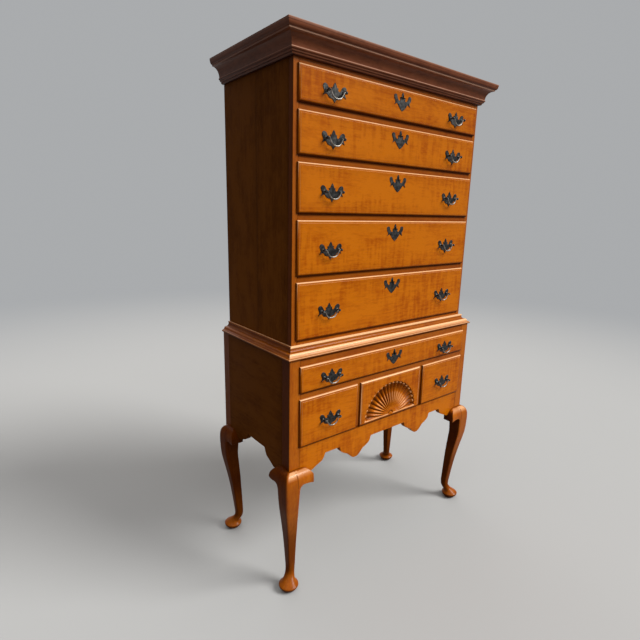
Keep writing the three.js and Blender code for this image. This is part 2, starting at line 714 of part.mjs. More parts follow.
// The knee return beside a knee: runs along -X from the case corner at [0, 0], on the face y = 0,
// which looks along +Y. Its back is stepped to fit under the board that it is glued to.
function kneeReturn() {
  const length = RETURN_END - POST_SQUARE / 2;
  const reach = RETURN_SWELL_SHARE * (KNEE_REACH - JOINT_GAP);
  const stations = RETURN_SHARES.map(([along, top, foot]) => {
    const x = -POST_SQUARE / 2 - along * length;
    const topZ = KNEE_TOP - top * RETURN_DEPTH;
    const footZ = KNEE_TOP - foot * RETURN_DEPTH;
    const face = RETURN_FACE_SHARES.map(([down, out]) => [
      x,
      JOINT_GAP + out * reach,
      topZ - down * (topZ - footZ),
    ]);
    const ledge = Math.min(APRON_END - JOINT_GAP, topZ - OVERRUN);
    return [
      ...face,
      [x, -RETURN_THICKNESS, footZ],
      [x, -RETURN_THICKNESS, ledge],
      [x, JOINT_GAP, ledge],
    ];
  });
  return loft(stations);
}

// A leg with its post. Directions [sx, sy] turn it to its corner; a rear leg is tucked in and has a
// return on its outer side only.
function leg(sx, sy) {
  const rear = sy > 0;
  const tuck = rear ? REAR_TUCK : 0;
  const postFoot = KNEE_TOP * POST_FOOT_SHARE;
  const post = board(-POST_SQUARE, 0, -POST_SQUARE, 0, postFoot, LOWER_TOP - JOINT_GAP);
  const parts = [post, cabriole().translate([0, -tuck, 0])];
  const alongX = kneeReturn();
  if (!rear) parts.push(alongX);
  // The same block turned to run along -Y, on the side of the case.
  parts.push(alongX.mirror([1, -1, 0]).translate([0, -tuck, 0]));
  // The side board's room beside the post, over its lower edge.
  const away = -KNEE_SPAN - POST_SQUARE;
  const edge = -POST_SQUARE - JOINT_GAP / 2;
  const roomFoot = APRON_END - JOINT_GAP;
  const room = board(-2 * POST_SQUARE, JOINT_GAP, away, edge, roomFoot, KNEE_TOP + OVERRUN);
  const body = joined(parts).subtract(room);
  const turned = body.scale([sx, sy, 1]);
  return turned.translate([sx * LOWER_HALF, rear ? CASE_BACK : LOWER_FRONT, 0]);
}

addMesh(lowerCase, "waist_moulding", waistMoulding(), maple);
addMesh(lowerCase, "lower_front_frame", lowerFrontFrame(), maple);
addMesh(lowerCase, "lower_side_left", lowerSide(-1), maple);
addMesh(lowerCase, "lower_side_right", lowerSide(1), maple);
addMesh(lowerCase, "lower_back", lowerBack(), pine);
addMesh(lowerCase, "leg_front_left", leg(-1, -1), maple);
addMesh(lowerCase, "leg_front_right", leg(1, -1), maple);
addMesh(lowerCase, "leg_rear_left", leg(-1, 1), maple);
addMesh(lowerCase, "leg_rear_right", leg(1, 1), maple);

// Pulls. The frame of a pull is the middle of its posts' line on the drawer front's face, with the
// pull standing out along -Y.
function pullPlate() {
  const half = [
    ...PLATE_TOP_SHARES.map(([x, z]) => [x * PLATE_HALF_WIDTH, z * PLATE_RISE]),
    ...PLATE_LOW_SHARES.map(([x, z]) => [x * PLATE_HALF_WIDTH, z * PLATE_FALL]),
  ];
  const other = half.slice(1, -1).map(([x, z]) => [-x, z]).reverse();
  const plate = frontPrism(outline([...half, ...other]), -JOINT_GAP - PLATE_THICKNESS, -JOINT_GAP);
  // Post, shank and nut are one turned profile of [radius, distance behind the front's face].
  const frontThickness = LIP_THICKNESS + LIP_SEAT + FRONT_BODY;
  const nutFront = frontThickness + JOINT_GAP;
  const baseFace = -JOINT_GAP - PLATE_THICKNESS;
  const profile = [
    [0, nutFront + NUT_THICKNESS],
    [NUT_RADIUS, nutFront + NUT_THICKNESS],
    [NUT_RADIUS, nutFront],
    [SHANK_RADIUS, nutFront],
    [SHANK_RADIUS, baseFace],
    [POST_BASE_RADIUS, baseFace],
    [POST_NECK_RADIUS, baseFace - POST_NECK_RADIUS],
    ...POST_HEAD_SHARES.map(([out, wide]) => [wide * POST_HEAD_RADIUS, baseFace - out * POST_REACH]),
    [0, baseFace - POST_REACH],
  ];
  const turned = new THREE.LatheGeometry(
    profile.map(([radius, place]) => new THREE.Vector2(radius, -place)).reverse(),
    POST_SIDES,
    Math.PI / POST_SIDES,
  );
  turned.rotateX(Math.PI);
  const lathe = solid(turned);
  const post = lathe.volume() > 0 ? lathe : solid(turned.scale(-1, 1, 1));
  const holeRadius = (PIN_RADIUS + PIN_PLAY) / Math.cos(Math.PI / POST_SIDES);
  const holeDepth = PIN_DEPTH + PIN_PLAY + OVERRUN;
  const hole = new THREE.CylinderGeometry(holeRadius, holeRadius, holeDepth, POST_SIDES);
  hole.rotateZ(Math.PI / 2);
  hole.translate(POST_MOUTH - OVERRUN + holeDepth / 2, baseFace - PIVOT_REACH, 0);
  const right = post.translate([POST_SPACING / 2, 0, 0]).subtract(solid(hole));
  return joined([plate, right, right.mirror([1, 0, 0])]);
}

// The bail, a round bar bent down between its two pins, thickest at its middle.
function bail() {
  const pivotY = -JOINT_GAP - PLATE_THICKNESS - PIVOT_REACH;
  const half = [
    [POST_MOUTH + PIN_DEPTH, 0, PIN_RADIUS],
    ...BAIL_SHARES.map(([across, down, thick]) => [
      across * POST_MOUTH,
      -down * BAIL_DROP,
      PIN_RADIUS + thick * (BAIL_RADIUS - PIN_RADIUS),
    ]),
  ];
  const other = half.slice(0, -1).map(([x, z, radius]) => [-x, z, radius]).reverse();
  const path = [...half, ...other];
  const rings = path.map(([x, z, radius], i) => {
    const before = path[Math.max(i - 1, 0)];
    const after = path[Math.min(i + 1, path.length - 1)];
    const along = new THREE.Vector2(after[0] - before[0], after[1] - before[1]).normalize();
    const ring = [];
    for (let k = 0; k < BAIL_SIDES; k++) {
      const angle = (k * 2 * Math.PI) / BAIL_SIDES;
      const across = radius * Math.cos(angle);
      ring.push([x - along.y * across, pivotY + radius * Math.sin(angle), z + along.x * across]);
    }
    return ring;
  });
  return loft(rings);
}

// Drawers. The frame of a drawer is the middle of its front's lower edge, in the plane of the case.
function drawerFront(width, height, pulls) {
  const lipBack = -LIP_SEAT;
  const rectangle = (y, inset) => {
    const half = width / 2 - inset;
    return [
      [-half, y, inset],
      [half, y, inset],
      [half, y, height - inset],
      [-half, y, height - inset],
    ];
  };
  const lip = loft([
    ...LIP_SHARES.map(([out, inset]) => rectangle(lipBack - out * LIP_THICKNESS, inset * LIP_OVERLAP)),
    rectangle(lipBack, 0),
  ]);
  const half = width / 2 - LIP_OVERLAP - DRAWER_PLAY;
  const foot = LIP_OVERLAP + SLIDE_GAP;
  const top = height - LIP_OVERLAP - DRAWER_PLAY;
  let body = lip.add(board(-half, half, lipBack - OVERRUN, FRONT_BODY, foot, top));
  const face = lipBack - LIP_THICKNESS;
  const length = FRONT_BODY - face + 2 * OVERRUN;
  pulls.forEach(([x, z]) => {
    [-1, 1].forEach((side) => {
      const radius = (SHANK_RADIUS + PIN_PLAY) / Math.cos(Math.PI / POST_SIDES);
      const hole = new THREE.CylinderGeometry(radius, radius, length, POST_SIDES);
      hole.translate(x + (side * POST_SPACING) / 2, (face + FRONT_BODY) / 2, z);
      body = body.subtract(solid(hole));
    });
  });
  return body;
}

// The sides, back and bottom of a drawer, open at the top.
function drawerBox(width, height, depth) {
  const half = width / 2 - LIP_OVERLAP - DRAWER_PLAY;
  const foot = LIP_OVERLAP + SLIDE_GAP;
  const top = height - LIP_OVERLAP - DRAWER_PLAY - SIDE_DROP;
  const front = FRONT_BODY + JOINT_GAP;
  const inner = half - DRAWER_SIDE;
  return joined([
    board(inner, half, front, depth, foot, top),
    board(-half, -inner, front, depth, foot, top),
    board(
      -inner - OVERRUN,
      inner + OVERRUN,
      depth - DRAWER_BACK,
      depth,
      foot + BOTTOM_RISE,
      top - BACK_DROP,
    ),
    board(
      -inner - OVERRUN,
      inner + OVERRUN,
      front,
      depth,
      foot + BOTTOM_RISE,
      foot + BOTTOM_RISE + DRAWER_BOTTOM,
    ),
  ]);
}

// The hollow of the carved fan: rays that rise between flutes, deepest near the rim.
function fanHollow() {
  const halfWidth = CENTRE_LIP_WIDTH / 2 - FAN_SIDE_MARGIN;
  const rise = ROW_LIP_HEIGHT - FAN_TOP_MARGIN - FAN_FOOT_MARGIN;
  const face = -LIP_SEAT - LIP_THICKNESS;
  const steps = FAN_RAYS * 2;
  const arc = [];
  for (let i = 0; i <= steps; i++) arc.push((Math.PI * i) / steps);
  const rings = FAN_RING_SHARES.map(([out, deep]) =>
    arc.map((angle, i) => {
      const ridge = i % 2 === 1 ? FAN_RIDGE_SHARE : 1;
      const depth = deep * ridge * FAN_DEPTH;
      const x = out * halfWidth * Math.cos(angle);
      return [x, face + depth, FAN_FOOT_MARGIN + out * rise * Math.sin(angle)];
    }),
  );
  // Each ring of the floor, closed over the face, makes a ribbon; together they are the hollow.
  const count = arc.length;
  const floor = rings.flat();
  const lid = floor.map(([x, , z]) => [x, face - OVERRUN, z]);
  const faces = [];
  const base = floor.length;
  const grid = (r, i) => r * count + i;
  for (let r = 0; r < rings.length - 1; r++) {
    for (let i = 0; i < count - 1; i++) {
      const [a, b] = [grid(r, i), grid(r, i + 1)];
      const [c, d] = [grid(r + 1, i + 1), grid(r + 1, i)];
      faces.push([a, b, c], [a, c, d]);
      faces.push([base + a, base + c, base + b], [base + a, base + d, base + c]);
    }
  }
  const wall = (a, b) => faces.push([a, base + a, base + b], [a, base + b, b]);
  for (let i = 0; i < count - 1; i++) {
    wall(grid(0, i), grid(0, i + 1));
    wall(grid(rings.length - 1, i + 1), grid(rings.length - 1, i));
  }
  for (let r = 0; r < rings.length - 1; r++) {
    wall(grid(r + 1, 0), grid(r, 0));
    wall(grid(r, count - 1), grid(r + 1, count - 1));
  }
  const build = (list) => {
    const geometry = new THREE.BufferGeometry();
    const points = [...floor, ...lid].flat();
    geometry.setAttribute("position", new THREE.Float32BufferAttribute(points, 3));
    geometry.setIndex(list.flat());
    return solid(geometry);
  };
  const body = build(faces);
  return body.volume() > 0 ? body : build(faces.map(([a, b, c]) => [a, c, b]));
}

const plateBody = pullPlate();
const bailBody = bail();

function addDrawer(parent, name, spec) {
  const { x, frontY, foot, width, height, backY, pulls, fan } = spec;
  const group = new THREE.Group();
  group.position.set(x, frontY, foot);
  parent.add(group);
  const pullHeight = height / 2 - PULL_SINK;
  const places = pulls.map((pull) => [pull, pullHeight]);
  let front = drawerFront(width, height, places);
  if (fan) front = front.subtract(fanHollow());
  addMesh(group, `drawer_${name}_front`, front, maple);
  const depth = backY - BACK_ROOM - frontY;
  addMesh(group, `drawer_${name}_box`, drawerBox(width, height, depth), pine);
  const sides = places.length > 1 ? ["left", "right"] : ["middle"];
  const face = -LIP_SEAT - LIP_THICKNESS;
  places.forEach(([pull, z], i) => {
    addMesh(group, `pull_${name}_${sides[i]}_plate`, plateBody, brass, [pull, face, z]);
    addMesh(group, `pull_${name}_${sides[i]}_bail`, bailBody, brass, [pull, face, z]);
  });
}

const upperLipWidth = UPPER_WIDTH - 2 * STILE_SHOW;
const upperPull = upperLipWidth / 2 - PULL_INSET;
upperLipFeet().forEach((foot, i) => {
  addDrawer(upperCase, `u${i + 1}`, {
    x: 0,
    frontY: UPPER_FRONT,
    foot,
    width: upperLipWidth,
    height: UPPER_LIP_HEIGHTS[i],
    backY: CASE_BACK - UPPER_BACK_THICKNESS,
    pulls: [-upperPull, upperPull],
  });
});

const lowerLipHalf = LOWER_HALF - POST_SHOW;
const lowerPull = lowerLipHalf - LOWER_PULL_INSET;
const sideLipWidth = lowerLipHalf - CENTRE_LIP_WIDTH / 2 - DIVIDER_SHOW;
const sideLipMiddle = lowerLipHalf - sideLipWidth / 2;
const lowerDrawer = { frontY: LOWER_FRONT, backY: CASE_BACK - LOWER_BACK_THICKNESS };
addDrawer(lowerCase, "l1", {
  ...lowerDrawer,
  x: 0,
  foot: LONG_LIP_FOOT,
  width: 2 * lowerLipHalf,
  height: LONG_LIP_HEIGHT,
  pulls: [-lowerPull, lowerPull],
});
[
  ["l2", -sideLipMiddle, sideLipWidth, [0], false],
  ["l3", 0, CENTRE_LIP_WIDTH, [], true],
  ["l4", sideLipMiddle, sideLipWidth, [0], false],
].forEach(([name, x, width, pulls, fan]) => {
  addDrawer(lowerCase, name, {
    ...lowerDrawer,
    x,
    foot: ROW_LIP_FOOT,
    width,
    height: ROW_LIP_HEIGHT,
    pulls,
    fan,
  });
});

export default highboy;
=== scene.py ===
"""The looks of a flat-top highboy in figured maple, built round its packed construction.

Lengths are in metres, +X to the right as seen from the front, +Y from front to back, +Z up. Each
sub-assembly is a class that takes its places from the construction's own boxes and holds its finer
sizes as fields. A timber carries its own fibre coordinates, so that every board shows its own grain.
"""
import logging
import math
from dataclasses import dataclass
from enum import Enum
from typing import Callable, Iterable, Mapping, Sequence, Union

import bmesh
import bpy
from mathutils import Matrix, Vector


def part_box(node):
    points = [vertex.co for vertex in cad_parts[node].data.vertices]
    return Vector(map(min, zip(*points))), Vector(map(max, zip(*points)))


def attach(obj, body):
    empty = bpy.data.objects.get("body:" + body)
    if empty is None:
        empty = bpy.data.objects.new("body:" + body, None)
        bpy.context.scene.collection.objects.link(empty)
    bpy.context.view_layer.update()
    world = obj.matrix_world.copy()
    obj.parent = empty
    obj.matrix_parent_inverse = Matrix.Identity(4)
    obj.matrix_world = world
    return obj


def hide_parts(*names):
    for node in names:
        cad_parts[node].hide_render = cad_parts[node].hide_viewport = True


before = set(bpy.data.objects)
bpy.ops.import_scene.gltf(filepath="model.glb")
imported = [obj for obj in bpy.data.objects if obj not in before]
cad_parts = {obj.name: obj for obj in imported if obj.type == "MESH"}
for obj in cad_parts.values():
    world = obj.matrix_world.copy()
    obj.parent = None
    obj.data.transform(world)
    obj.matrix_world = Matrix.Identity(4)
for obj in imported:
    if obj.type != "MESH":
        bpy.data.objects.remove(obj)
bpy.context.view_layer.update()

LOG = logging.getLogger("highboy")
# Points closer than the first are merged, and places closer than the second count as the same.
MERGE = 1e-6
NEAR = 1e-5

Point = tuple[float, float]
Station = tuple[float, float, float]
Colour = Station
Mesh = bmesh.types.BMesh
Shade = Callable[[Vector, Vector], float]


class Slot(Enum):
    """The record's material slots."""

    MAPLE = "figured_maple"
    DARK_MAPLE = "dark_maple"
    PINE = "pine"
    BRASS = "brass"


Finish = tuple[bpy.types.Material, Slot]


class Fibre(Enum):
    """The direction in which a timber's fibres run, as an axis number."""

    ACROSS = 0
    BACK = 1
    UP = 2


class Facing(Enum):
    """The plane in which an outline is drawn: its two axes, and the axis it is extruded along."""

    FRONT = (0, 2, 1)
    SIDE = (1, 2, 0)


class Hand(Enum):
    """The left or the right of the piece, as the sign of X."""

    LEFT = -1
    RIGHT = 1

    def between(self, first: float, second: float) -> list[float]:
        """Two distances out from the middle as places on this side, the lower one first."""
        return sorted((self.value * first, self.value * second))


class Signal:
    """One output of a node, with arithmetic that adds Math nodes."""

    def __init__(self, bench: "Bench", socket: bpy.types.NodeSocket) -> None:
        """Wraps an output socket of the bench's node tree."""
        self.bench = bench
        self.socket = socket

    def maths(self, operation: str, *values: "Operand") -> "Signal":
        """Adds a Math node with the values as its inputs, and gives its result."""
        return self.bench.node("ShaderNodeMath", {"operation": operation}, dict(enumerate(values)))[0]

    def __add__(self, other: "Operand") -> "Signal":
        """This plus another."""
        return self.maths("ADD", self, other)

    def __radd__(self, other: "Operand") -> "Signal":
        """Another plus this."""
        return self.maths("ADD", other, self)

    def __sub__(self, other: "Operand") -> "Signal":
        """This less another."""
        return self.maths("SUBTRACT", self, other)

    def __rsub__(self, other: "Operand") -> "Signal":
        """Another less this."""
        return self.maths("SUBTRACT", other, self)

    def __mul__(self, other: "Operand") -> "Signal":
        """This times another."""
        return self.maths("MULTIPLY", self, other)

    def __pow__(self, other: "Operand") -> "Signal":
        """This to a power."""
        return self.maths("POWER", self, other)

    def least(self, other: "Operand") -> "Signal":
        """The smaller of this and another."""
        return self.maths("MINIMUM", self, other)

    def most(self, other: "Operand") -> "Signal":
        """The larger of this and another."""
        return self.maths("MAXIMUM", self, other)

    def sine(self) -> "Signal":
        """The sine of this."""
        return self.maths("SINE", self)

    def root(self) -> "Signal":
        """The square root of this."""
        return self.maths("SQRT", self)

    def step(self, low: float, high: float) -> "Signal":
        """A smooth rise from 0 at the low value to 1 at the high one; low may be the greater."""
        settings = {"interpolation_type": "SMOOTHSTEP"}
        rising = low < high
        inputs = {0: self, 1: min(low, high), 2: max(low, high), 3: 0.0, 4: 1.0}
        step = self.bench.node("ShaderNodeMapRange", settings, inputs)[0]
        return step if rising else 1.0 - step


Operand = Union[Signal, float]
Feed = Union[Signal, float, Colour, tuple[float, float, float, float]]


class Bench:
    """A material's node tree, and the one way in which nodes are added to it."""

    MIX_FACTOR, MIX_A, MIX_B, MIX_RESULT = 0, 6, 7, 2

    def __init__(self, tree: bpy.types.NodeTree) -> None:
        """Clears a node tree to work in."""
        self.tree = tree
        tree.nodes.clear()

    def node(
        self,
        kind: str,
        settings: Mapping[str, object] = {},
        inputs: Mapping[Union[str, int], Feed] = {},
    ) -> list[Signal]:
        """Adds a node.

        Args:
            kind: the node's type.
            settings: its properties, and a ramp's stops as a list of (place, colour).
            inputs: a value or a link for each socket named or numbered.

        Returns:
            Its outputs, in order.
        """
        made = self.tree.nodes.new(kind)
        for name, value in settings.items():
            if name == "stops":
                self._stops(made.color_ramp, value)
            else:
                setattr(made, name, value)
        for key, value in inputs.items():
            socket = made.inputs[key]
            if isinstance(value, Signal):
                self.tree.links.new(value.socket, socket)
            elif isinstance(value, tuple) and socket.type == "RGBA" and len(value) == 3:
                socket.default_value = (*value, 1.0)
            else:
                socket.default_value = value
        return [Signal(self, output) for output in made.outputs]

    @staticmethod
    def _stops(ramp: bpy.types.ColorRamp, stops: Sequence[tuple[float, Colour]]) -> None:
        """Sets a ramp's stops, each a place and a colour, in order."""
        while len(ramp.elements) > 1:
            ramp.elements.remove(ramp.elements[-1])
        ramp.elements[0].position = stops[0][0]
        ramp.elements[0].color = (*stops[0][1], 1.0)
        for place, colour in stops[1:]:
            ramp.elements.new(place).color = (*colour, 1.0)

    def blend(self, factor: Operand, first: Feed, second: Feed, mode: str = "MIX") -> Signal:
        """Mixes a share of the second colour into the first one, in a blend mode."""
        settings = {"data_type": "RGBA", "blend_type": mode}
        inputs = {self.MIX_FACTOR: factor, self.MIX_A: first, self.MIX_B: second}
        return self.node("ShaderNodeMix", settings, inputs)[self.MIX_RESULT]

    def vector(self, operation: str, *values: Feed) -> Signal:
        """Adds a Vector Math node with the values as its inputs, and gives the resulting vector."""
        return self.node("ShaderNodeVectorMath", {"operation": operation}, dict(enumerate(values)))[0]

    def noise(self, place: Signal, scale: Colour, detail: float, rough: float = 0.5) -> Signal:
        """Noise from 0 to 1 round 0.5, with its own number of waves per metre along each axis."""
        stretched = self.vector("MULTIPLY", place, scale)
        inputs = {"Vector": stretched, "Scale": 1.0, "Detail": detail, "Roughness": rough}
        return self.node("ShaderNodeTexNoise", {}, inputs)[0]

    def attribute(self, name: str) -> list[Signal]:
        """Reads an attribute of the mesh: its outputs are colour, vector and value."""
        return self.node("ShaderNodeAttribute", {"attribute_name": name})

    def finish(self, surface: Mapping[Union[str, int], Feed], height: Signal, depth: float) -> None:
        """Adds the surface shader, with a bump map of a height from 0 to 1 and a depth in metres."""
        bump = self.node("ShaderNodeBump", {}, {"Strength": 1.0, "Distance": depth, "Height": height})
        shader = self.node("ShaderNodeBsdfPrincipled", {}, {**surface, "Normal": bump[0]})
        self.node("ShaderNodeOutputMaterial", {}, {"Surface": shader[0]})


@dataclass(frozen=True)
class WoodFinish:
    """A timber under its stain and varnish, drawn in each board's own fibre coordinates.

    The coordinates come from the mesh: spot is the place from the board's middle along its fibres,
    across them and through its thickness, half is half of its size the same way, and seed and tone
    tell the boards apart. Shade is painted shade above 0, and painted highlight below 0.
    """

    name: str
    slot: Slot
    pale: Colour
    middle: Colour
    deep: Colour
    curl: float = 0.12
    cloud: float = 0.3
    ring: float = 0.07
    streak: float = 0.34
    fleck: float = 0.6
    ring_pitch: float = 0.013
    grime: float = 0.35
    gloss_loss: float = 0.3
    coat: float = 0.2
    coat_rough: float = 0.2
    specular: float = 0.03
    relief: float = 0.00035
    # painted shade multiplies the colour towards the shaded colour, and painted highlight mixes in the
    # highlight colour
    shaded: Colour = (0.33, 0.29, 0.45)
    bare: Colour = (0.93, 0.58, 0.31)

    def build(self) -> Finish:
        """Makes the material."""
        material = bpy.data.materials.new(self.name)
        material.use_nodes = True
        bench = Bench(material.node_tree)
        spot = bench.attribute("spot")[1]
        seed = bench.attribute("seed")[2]
        shift = bench.node("ShaderNodeCombineXYZ", {}, {0: seed * 3.17, 1: seed * 7.31, 2: seed * 1.93})[0]
        place = bench.vector("ADD", spot, shift)
        figure = self._figure(bench, spot, place)
        fibres = bench.noise(place, (14.0, 520.0, 520.0), 3.0, 0.6)
        colour = self._colour(bench, figure, fibres, place)
        edge = self._edge(bench, spot, place)
        darker = bench.blend(edge * self.grime, colour, self.deep)
        specks = bench.noise(place, (90.0, 420.0, 420.0), 2.0).step(0.64, 0.76)
        marked = bench.blend(specks * 0.3, darker, self.deep)
        # the shade attribute paints shade into the colour above 0 and paints a highlight into it below 0
        shade = bench.attribute("shade")[2]
        shaded_colour = bench.blend(shade.most(0.0), marked, self.shaded, "MULTIPLY")
        highlight = (0.0 - shade).most(0.0) * (1.2 - fibres * 0.4)
        highlit = bench.blend(highlight.least(1.0), shaded_colour, self.bare)
        clouds = bench.noise(place, (7.0, 11.0, 11.0), 2.0)
        rough = self.gloss_loss + (clouds - 0.5) * 0.14 + (fibres - 0.5) * 0.1
        ripple = bench.noise(place, (9.0, 17.0, 17.0), 1.0)
        height = ripple * 0.9 + fibres * 0.12 - specks * 0.3
        surface = {
            "Base Color": highlit,
            "Roughness": rough,
            "Specular IOR Level": self.specular,
            "Coat Weight": (1.0 - shade.most(0.0)) * self.coat,
            "Coat Roughness": self.coat_rough,
        }
        bench.finish(surface, height, self.relief)
        return material, self.slot

    def _figure(self, bench: Bench, spot: Signal, place: Signal) -> Signal:
        """The broad figure: growth rings, curl across the fibres, and cloudy stain.

        Args:
            bench: the bench to work on.
            spot: the place in the board.
            place: the same, shifted for each board.

        Returns:
            The figure, about 0 where the wood is palest and 1 where it is deepest.
        """
        along, across, depth = bench.node("ShaderNodeSeparateXYZ", {}, {0: spot})
        wander = bench.noise(place, (1.7, 2.6, 2.6), 2.0)
        pith = 0.055 + (wander - 0.5) * 0.16 + along * 0.05
        reach = (across * across + (depth + pith) * (depth + pith)).root()
        waver = bench.noise(place, (6.0, 26.0, 26.0), 2.0) * 0.012
        turns = (reach + waver) * (2 * math.pi / self.ring_pitch)
        rings = (turns.sine() * 0.5 + 0.5) ** 2.2
        bands = bench.noise(place, (62.0, 9.0, 24.0), 2.0, 0.45).step(0.36, 0.66)
        where = bench.noise(place, (3.1, 6.0, 6.0), 1.0).step(0.34, 0.62)
        clouds = bench.noise(place, (8.0, 17.0, 17.0), 3.0, 0.55).step(0.3, 0.72)
        return rings * self.ring + bands * where * self.curl + clouds * self.cloud

    def _colour(self, bench: Bench, figure: Signal, fibres: Signal, place: Signal) -> Signal:
        """The stained wood's colour, from the broad figure, the fine fibres and the place."""
        streaks = bench.noise(place, (2.6, 75.0, 75.0), 4.0, 0.6)
        flecks = bench.noise(place, (48.0, 170.0, 170.0), 3.0, 0.6)
        tone = bench.attribute("tone")[2]
        fine = (streaks - 0.5) * self.streak + (flecks - 0.5) * self.fleck + (fibres - 0.5) * 0.3
        depth = figure + fine + tone
        stops = [(0.08, self.pale), (0.42, self.middle), (1.0, self.deep)]
        return bench.node("ShaderNodeValToRGB", {"stops": stops}, {0: depth})[0]

    def _edge(self, bench: Bench, spot: Signal, place: Signal) -> Signal:
        """How much old wax and dirt lies near a board's edges, from 0 to 1.

        Args:
            bench: the bench to work on.
            spot: the place in the board.
            place: the same, shifted for each board.

        Returns:
            The share.
        """
        half = bench.attribute("half")[1]
        room = bench.vector("SUBTRACT", half, bench.vector("ABSOLUTE", spot))
        along, across, _ = bench.node("ShaderNodeSeparateXYZ", {}, {0: room})
        rough = bench.noise(place, (30.0, 30.0, 30.0), 4.0, 0.6) - 0.5
        near = along.least(across)
        rim = (near + rough * 0.012).step(0.012, 0.001)
        broad = (near + rough * 0.09).step(0.045, 0.0) * 0.45
        return rim.most(broad)


@dataclass(frozen=True)
class MetalFinish:
    """Old brass: a dark skin with paler metal where hands and dusters have rubbed it."""

    name: str
    slot: Slot
    dark: Colour
    worn: Colour
    pits: Colour
    rough: float = 0.36
    metallic: float = 0.92
    specular: float = 0.5

    def build(self) -> Finish:
        """Makes the material."""
        material = bpy.data.materials.new(self.name)
        material.use_nodes = True
        bench = Bench(material.node_tree)
        place = bench.node("ShaderNodeTexCoord")[3]
        patches = bench.noise(place, (110.0, 110.0, 110.0), 4.0, 0.6).step(0.38, 0.68)
        grain = bench.noise(place, (900.0, 900.0, 900.0), 2.0)
        pits = grain.step(0.62, 0.74)
        skin = bench.blend(patches * 0.7, self.dark, self.worn)
        colour = bench.blend(pits * 0.6, skin, self.pits)
        surface = {
            "Base Color": colour,
            "Metallic": self.metallic,
            "Roughness": self.rough + patches * 0.1 - pits * 0.05,
            "Specular IOR Level": self.specular,
        }
        bench.finish(surface, patches * 0.4 - pits * 0.5, 0.0001)
        return material, self.slot


class Finishes:
    """Every finish of the piece, made once."""

    def __init__(self) -> None:
        """Makes the materials."""
        self.figured = WoodFinish(
            "amber figured maple", Slot.MAPLE,
            (0.53, 0.145, 0.003), (0.38, 0.081, 0.0008), (0.13, 0.02, 0.0005),
            curl=0.24, cloud=0.2, coat=0.12,
        ).build()
        self.frame = WoodFinish(
            "amber plain maple", Slot.MAPLE,
            (0.46, 0.122, 0.003), (0.34, 0.074, 0.0008), (0.11, 0.018, 0.0005),
            curl=0.06, coat=0.25,
        ).build()
        # the case sides' darker maple is partly a darker stain and partly painted shade, for sides that stand
        # in shade
        self.case = WoodFinish(
            "brown case maple", Slot.MAPLE, (0.165, 0.05, 0.005), (0.1, 0.027, 0.0015), (0.038, 0.009, 0.001),
            curl=0.04, streak=0.5, ring=0.03, coat=0.0, specular=0.01, gloss_loss=0.42,
        ).build()
        self.cornice = WoodFinish(
            "dark cornice maple", Slot.DARK_MAPLE,
            (0.27, 0.086, 0.034), (0.17, 0.05, 0.019), (0.062, 0.017, 0.008),
            curl=0.04, streak=0.4, coat=0.1, specular=0.08, bare=(0.85, 0.55, 0.4),
        ).build()
        self.pine = WoodFinish(
            "bare pine", Slot.PINE, (0.52, 0.34, 0.17), (0.42, 0.25, 0.115), (0.24, 0.12, 0.05),
            curl=0.0, ring=0.42, ring_pitch=0.009, gloss_loss=0.68, coat=0.0,
        ).build()
        self.brass = MetalFinish(
            "old brass", Slot.BRASS, (0.026, 0.026, 0.026), (0.092, 0.092, 0.09), (0.01, 0.01, 0.01)
        ).build()
        self.bail = MetalFinish(
            "rubbed brass", Slot.BRASS, (0.14, 0.135, 0.12), (0.44, 0.42, 0.38), (0.04, 0.04, 0.036), 0.32
        ).build()
        self.void = MetalFinish(
            "keyhole shadow", Slot.BRASS, (0.004, 0.004, 0.003), (0.006, 0.005, 0.004), (0.002, 0.002, 0.002),
            rough=0.8, metallic=0.0, specular=0.0,
        ).build()


@dataclass(frozen=True)
class Span:
    """The space between two corners."""

    lo: Vector
    hi: Vector

    @classmethod
    def of(cls, *nodes: str) -> "Span":
        """The space that nodes of the construction take together."""
        corners = [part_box(node) for node in nodes]
        lo = Vector([min(low[k] for low, _ in corners) for k in range(3)])
        hi = Vector([max(high[k] for _, high in corners) for k in range(3)])
        return cls(lo, hi)

    @property
    def middle(self) -> Vector:
        """The middle of the space."""
        return (self.lo + self.hi) / 2


def through(points: Sequence[Sequence[float]], steps: int) -> list[tuple[float, ...]]:
    """Draws a smooth curve through points.

    Args:
        points: the points, each with any number of values.
        steps: points of the curve from one point to the next.

    Returns:
        The curve's points, both ends among them.
    """
    curve = []
    for i in range(len(points) - 1):
        before, start = points[max(i - 1, 0)], points[i]
        end, after = points[i + 1], points[min(i + 2, len(points) - 1)]
        for k in range(steps):
            t = k / steps
            curve.append(
                tuple(
                    0.5 * (2 * b + (c - a) * t + (2 * a - 5 * b + 4 * c - d) * t**2
                           + (3 * b - a - 3 * c + d) * t**3)
                    for a, b, c, d in zip(before, start, end, after)
                )
            )
    curve.append(tuple(points[-1]))
    return curve


def arc(start: Point, end: Point, corner: Point, steps: int) -> list[Point]:
    """Draws a quarter of an ellipse between two points.

    Args:
        start: where it starts.
        end: where it ends.
        corner: the corner that it bows towards.
        steps: flats along it.

    Returns:
        Its points, both ends among them.
    """
    points = []
    for k in range(steps + 1):
        turn = math.pi / 2 * k / steps
        u, v = 1 - math.cos(turn), 1 - math.sin(turn)
        points.append(
            (
                corner[0] + (start[0] - corner[0]) * v + (end[0] - corner[0]) * u,
                corner[1] + (start[1] - corner[1]) * v + (end[1] - corner[1]) * u,
            )
        )
    return points


def eased(value: float, low: float, high: float) -> float:
    """A smooth rise from 0 to 1 as a value goes from low to high."""
    share = min(max((value - low) / (high - low), 0.0), 1.0)
    return share * share * (3 - 2 * share)


def blended(curve: Sequence[Point], place: float) -> float:
    """Reads a curve of rising places and their values; beyond its ends the value is held."""
    if place <= curve[0][0]:
        return curve[0][1]
    for (low, start), (high, end) in zip(curve, curve[1:]):
        if place <= high:
            return start + (end - start) * (place - low) / max(high - low, 1e-9)
    return curve[-1][1]


